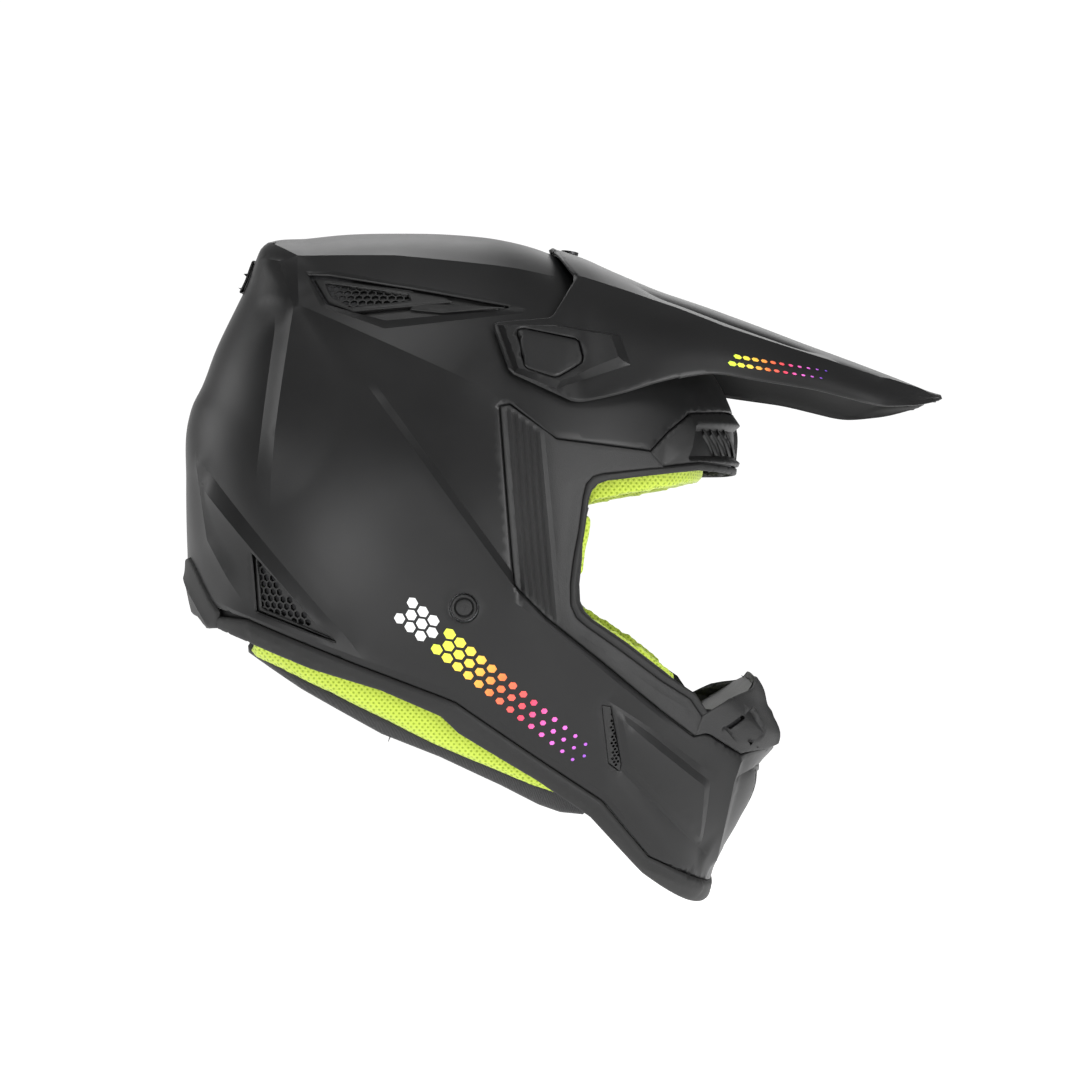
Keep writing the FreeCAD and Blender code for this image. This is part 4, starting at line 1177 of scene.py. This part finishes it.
def make_foam():
    block = [(100, -82), (139, -84), (145, -100, 0), (143, -112, 0), (120, -164, 0), (112, -166),
             (90, -158), (72, -130), (88, -98)]
    add("chin_foam", form, block, FOAM, "foam_liner", "eps_chin_bar", lift=-5.5, pitch=4.0,
        thick=12.0, roll=2.0)


make_ledge()
make_rivets()
make_foam()


# ------------------------------------------------------------------ padding

def puff(surface, outline, height, reach):
    """The crown of a stuffed pad: it rises from its sewn edge over a given reach."""
    border = map_line(surface, outline, 2.0)

    def lift(points):
        d, _ = distance(border, points, True)
        f = np.clip(d / reach, 0, 1)
        return height * np.sqrt(np.maximum(1 - (1 - f) ** 2, 0))
    return lift


CLOTH_PRESSURE = 4.0
CLOTH_FRAMES = 20
CLOTH_CELL = 3.2     # size of the mesh that is simulated, in mm
CLOTH_REACH = 2.5     # how far a point may move, in mm


def simulate(piece):
    """Swell a pad with cloth pressure, keeping every point close to where it started."""
    bpy.context.view_layer.objects.active = piece
    for item in bpy.context.selected_objects:
        item.select_set(False)
    piece.select_set(True)
    remesh = piece.modifiers.new("remesh", "REMESH")
    remesh.mode = "VOXEL"
    remesh.voxel_size = CLOTH_CELL * MM
    bpy.ops.object.modifier_apply(modifier=remesh.name)
    start = np.array([v.co[:] for v in piece.data.vertices])
    cloth = piece.modifiers.new("cloth", "CLOTH")
    cloth.settings.use_pressure = True
    cloth.settings.uniform_pressure_force = CLOTH_PRESSURE
    cloth.settings.effector_weights.gravity = 0.0
    cloth.settings.quality = 4
    cloth.point_cache.frame_start, cloth.point_cache.frame_end = 1, CLOTH_FRAMES
    scene = bpy.context.scene
    for step in range(1, CLOTH_FRAMES + 1):
        scene.frame_set(step)
    view = piece.evaluated_get(bpy.context.evaluated_depsgraph_get())
    moved = np.array([v.co[:] for v in view.data.vertices])
    piece.modifiers.clear()
    scene.frame_set(1)
    shift = moved - start
    length = np.linalg.norm(shift, axis=1)
    shift *= np.minimum(1.0, CLOTH_REACH * MM / np.maximum(length, 1e-9))[:, None]
    piece.data.vertices.foreach_set("co", (start + shift).ravel())
    piece.data.update()
    smooth = piece.modifiers.new("smooth", "SUBSURF")
    smooth.levels = 1
    bpy.ops.object.modifier_apply(modifier=smooth.name)
    for face in piece.data.polygons:
        face.use_smooth = True
    return piece


def pad(name, surface, outline, lift, thick, crown, material, *nodes, creases=(), soft=True,
        reach=9.0):
    """A stuffed pad of cloth on a surface."""
    piece = patch(name, surface, outline, (), creases, lift, pitch=3.0, thick=thick, roll=2.5,
                  extra=puff(surface, outline, crown, reach))
    if soft:
        simulate(piece)
    dress(piece, material, "root", "pad_fabric", *nodes)
    return piece


def make_pads():
    inner = Form(-8.0)
    lime_edge = [(-137, -45.5), (-106.5, -62.5), (-74, -78.5), (-36, -96.5), (12, -116.5),
                 (26, -121), (44, -124)]
    top = [(x + 1, z - 1) for x, z in RIM[1:8]] + [(56, -131)]
    under = [(x + 1, z - 6) for x, z in lime_edge]
    pad("neck_roll_mesh", inner, top + under[::-1], -1.0, 8.0, 3.0, LIME, "neck_roll", reach=12.0)
    black_edge = [(47.5, -138.5), (34, -137), (22, -132.5), (1.6, -121.5), (-31, -106),
                  (-63, -93.5), (-106.5, -69.5), (-137, -50)]
    hem = [(x, z + 0.5) for x, z in lime_edge] + [(54, -129)]
    pad("neck_roll_hem", inner, hem + black_edge, 1.8, 12.0, 0.6, BLACK_CLOTH, reach=3.0,
        soft=False)
    cheek = [(53, 29), (51.5, 14), (50, 0), (49, -10), (49, -19), (50.5, -24.5), (55.5, -28.5),
             (68, -37), (82, -47), (94, -57), (100.5, -64), (94, -78), (66, -86), (30, -76),
             (-12, -56), (-22, -30), (-14, 10), (4, 30)]
    seams = (Crease([(-20, -18), (46, -4)], -3.0, 3.0, (0.1, 0.1), False),
             Crease([(20, -60), (48, -24)], -3.0, 3.0, (0.1, 0.1), False))
    pad("cheek_pad_cover", inner, cheek, -2.0, 22.0, 1.5, LIME, "cheek_pad_left",
        "cheek_pad_right", creases=seams, reach=5.0)
    binding = [(49.3, 29), (46.2, 17), (45.5, 1), (44.2, -12), (44.6, -21), (47, -26.5),
               (51.5, -31), (69, -43), (91, -60), (103, -70), (98, -71), (66, -50), (46, -36),
               (38, -26), (38, 27)]
    add("cheek_pad_binding", inner, binding, BLACK_CLOTH, "pad_fabric", lift=1.4, pitch=2.4,
        thick=2.0, roll=0.8)
    brow_form = Form(-19.0)
    brow = [(49, 31), (48, 40), (52, 50), (84, 60), (116, 58), (116, 45), (104, 41), (84, 37.5),
            (64, 34)]
    fold = Crease([(50, 41), (84, 46.5), (116, 50)], -2.2, 2.2, (0.05, 0.0), False)
    pad("brow_pad_cover", brow_form, brow, 0.0, 8.0, 3.0, LIME, "brow_pad", creases=(fold,))


make_pads()


class Dome:
    """The top of the head space: a half ellipsoid, reached by azimuth and fall."""

    SIZE = np.array((114.5, 86.0, 130.5))
    PLACE = np.array((-14.5, 0.0, 15.0))

    def point(self, azimuth, fall, inset):
        """A point at an azimuth, with fall from 0 at the top to 1 at the equator."""
        a, f = azimuth, fall * 0.5 * math.pi
        unit = np.array((math.sin(f) * math.cos(a), math.sin(f) * math.sin(a), math.cos(f)))
        return self.PLACE + unit * (self.SIZE - inset)


def make_crown_pad():
    """A quilted crown liner of mesh cloth, with sewn channels that run to the top."""
    dome = Dome()
    bm = bmesh.new()
    rows, columns = 36, 144
    shells = []
    for outside in (True, False):
        grid = []
        for i in range(rows + 1):
            fall = 0.70 * i / rows
            ring = []
            for j in range(columns):
                azimuth = 2 * math.pi * j / columns
                channel = abs(math.sin(4 * azimuth)) ** 0.5 if i > 6 else 1.0
                band = min(abs(i - 6), abs(i - 20), rows - i) / 3.0
                crown = channel * min(1.0, band) ** 0.5
                inset = 0.8 if outside else 2.5 + 5.0 * crown
                ring.append(bm.verts.new(Vector(dome.point(azimuth, fall, inset)) * MM))
            grid.append(ring)
        shells.append(grid)
    for grid in shells:
        for i in range(rows):
            for j in range(columns):
                k = (j + 1) % columns
                bm.faces.new((grid[i][j], grid[i][k], grid[i + 1][k], grid[i + 1][j]))
    for j in range(columns):
        k = (j + 1) % columns
        bm.faces.new((shells[0][rows][j], shells[0][rows][k], shells[1][rows][k],
                      shells[1][rows][j]))
    bmesh.ops.remove_doubles(bm, verts=bm.verts[:], dist=SEAM_WELD)
    bmesh.ops.recalc_face_normals(bm, faces=bm.faces[:])
    piece = finish_mesh("crown_pad_cover", bm)
    dress(piece, LIME, "root", "pad_fabric", "crown_pad")


make_crown_pad()


# ------------------------------------------------------------------ printed graphics

def hexagon_field(name, surface, start, step, across, rows, count, radius, height, material,
                  first=0.0):
    """Rows of hexagons that shrink away along a line."""
    bm = bmesh.new()
    for row in range(rows):
        for i in range(count):
            f = (i + 0.5 * (row % 2)) / count
            size = radius * (1 - 0.72 * f) if f >= first else radius
            middle = np.array(start) + np.array(step) * (i + 0.5 * (row % 2))
            middle = middle + np.array(across) * (row - (rows - 1) / 2)
            middle = np.array(surface.uv([tuple(middle)])[0])
            rings = [middle[None]]
            for level in (0.5, 1.0):
                angles = np.radians(np.arange(0, 360, 10))
                reach = math.cos(math.radians(30)) / np.cos((angles % math.radians(60))
                                                            - math.radians(30))
                rings.append(middle + np.stack([np.cos(angles) * reach, np.sin(angles) * reach],
                                               1) * size * level)
            flat = np.concatenate(rings)
            placed = surface.place(flat) + normals(surface, flat) * (
                height(flat) + 0.16)[:, None]
            for side in (1, -1):
                made = [bm.verts.new(Vector((p[0], side * p[1], p[2])) * MM) for p in placed]
                for k in range(36):
                    m = (k + 1) % 36
                    bm.faces.new((made[0], made[1 + k], made[1 + m]))
                    bm.faces.new((made[1 + k], made[37 + k], made[37 + m], made[1 + m]))
    bm.normal_update()
    for f in bm.faces:
        if f.normal.y * f.calc_center_median().y < 0:
            f.normal_flip()
    thicken(bm, 0.05 * MM)
    return dress(finish_mesh(name, bm), material, "peak" if surface is peak else "root",
                 "peak_plastic" if surface is peak else "shell_paint")


def make_graphics():
    flank = [map_line(form, c.points, 3.2, False) for c in SHELL_CREASES]

    def on_shell(points):
        return relief(SHELL_CREASES, flank, points)

    fade = gradient("printed_fade", (-34, -40), (52, -106))
    white = plastic("printed_white", (0.72, 0.72, 0.72), (0.8, 0.8, 0.8), 0.5, 0.05, 900.0,
                    0.00002)
    step, across = (5.55, -4.62), (3.45, 4.15)
    start = (-28.0, -42.0)
    hexagon_field("flank_graphic", form, start, step, across, 3, 14, 2.75, on_shell, fade)
    lead = (start[0] - 3 * step[0] - 3.0, start[1] - 3 * step[1] + 2.5)
    hexagon_field("flank_graphic_lead", form, lead, step, across, 3, 3, 2.75, on_shell, white,
                  1.0)
    peak_fade = gradient("printed_peak_fade", (128, 108), (178, 100))
    ridges = [map_line(peak, c.points, 2.6, False) for c in PEAK_CREASES]

    def on_peak(points):
        return relief(PEAK_CREASES, ridges, points) + 0.1

    hexagon_field("peak_graphic", peak, (128, 109.4), (4.9, -0.75), (0.65, 4.2), 2, 11, 2.45,
                  on_peak, peak_fade)


make_graphics()


# ------------------------------------------------------------------ pieces kept from the frame

KEPT = {
    FOAM: ("eps_liner", "cheek_base_left", "cheek_base_right"),
    WEBBING: ("chin_strap_left", "chin_strap_right"),
    STEEL: ("inner_d_ring", "outer_d_ring", "strap_anchor_plate_left",
            "strap_anchor_plate_right", "strap_rivet_left", "strap_rivet_right",
            "peak_nut_left", "peak_nut_right", "peak_centre_nut"),
    BLACK_NUT: ("peak_screw_left", "peak_screw_right", "peak_centre_screw", "strap_snap"),
}


def dress_kept():
    for material, names in KEPT.items():
        for name in names:
            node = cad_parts[name]
            node.data.materials.clear()
            node.data.materials.append(material)


dress_kept()


# ------------------------------------------------------------------ stage

LIGHT_SIZE = 0.9


def make_stage():
    floor = bpy.data.meshes.new("floor")
    size, drop = 60.0, -0.46
    floor.from_pydata([(-size, -size, drop), (size, -size, drop), (size, size, drop),
                       (-size, size, drop)], [], [(0, 1, 2, 3)])
    plane = bpy.data.objects.new("floor", floor)
    bpy.context.scene.collection.objects.link(plane)
    n = Nodes("pale_floor")
    n.color(n.noise(1.2), [(0.3, (0.95, 0.95, 0.95)), (0.7, (0.97, 0.97, 0.97))])
    n.set(Roughness=0.9, Emission_Color=(1.0, 1.0, 1.0, 1.0), Emission_Strength=0.85)
    floor.materials.append(n.material)
    world = bpy.data.worlds.new("studio")
    world.use_nodes = True
    tree = world.node_tree
    background = tree.nodes["Background"]
    where = tree.nodes.new("ShaderNodeTexCoord")
    split = tree.nodes.new("ShaderNodeSeparateXYZ")
    ramp = tree.nodes.new("ShaderNodeMapRange")
    tree.links.new(where.outputs["Generated"], split.inputs[0])
    tree.links.new(split.outputs[1], ramp.inputs["Value"])
    for key, value in (("From Min", 0.78), ("From Max", 0.95), ("To Min", 0.22), ("To Max", 1.05)):
        ramp.inputs[key].default_value = value
    tree.links.new(ramp.outputs[0], background.inputs["Strength"])
    background.inputs["Color"].default_value = (1.0, 1.0, 1.0, 1.0)
    bpy.context.scene.world = world
    bpy.context.scene.view_settings.view_transform = "Standard"
    aim = Vector((0, 0, 0.03))
    for name, place, power in (
            ("key", (-0.35, -1.2, 2.2), 16.0),
            ("front", (1.5, -1.7, 0.25), 30.0),
            ("front_high", (1.4, -1.0, 1.5), 8.0),
            ("back_low", (-1.1, -1.8, -0.4), 20.0),
            ("far", (-0.3, 1.5, 1.7), 7.5),
            ("far_front", (0.6, 1.7, 1.2), 4.0),
            ("rear", (-2.0, 0.6, 0.6), 7.0)):
        data = bpy.data.lights.new(name, "AREA")
        data.energy, data.size = power, LIGHT_SIZE
        lamp = bpy.data.objects.new(name, data)
        lamp.location = place
        direction = aim - Vector(place)
        lamp.rotation_euler = direction.to_track_quat("-Z", "Y").to_euler()
        bpy.context.scene.collection.objects.link(lamp)


make_stage()
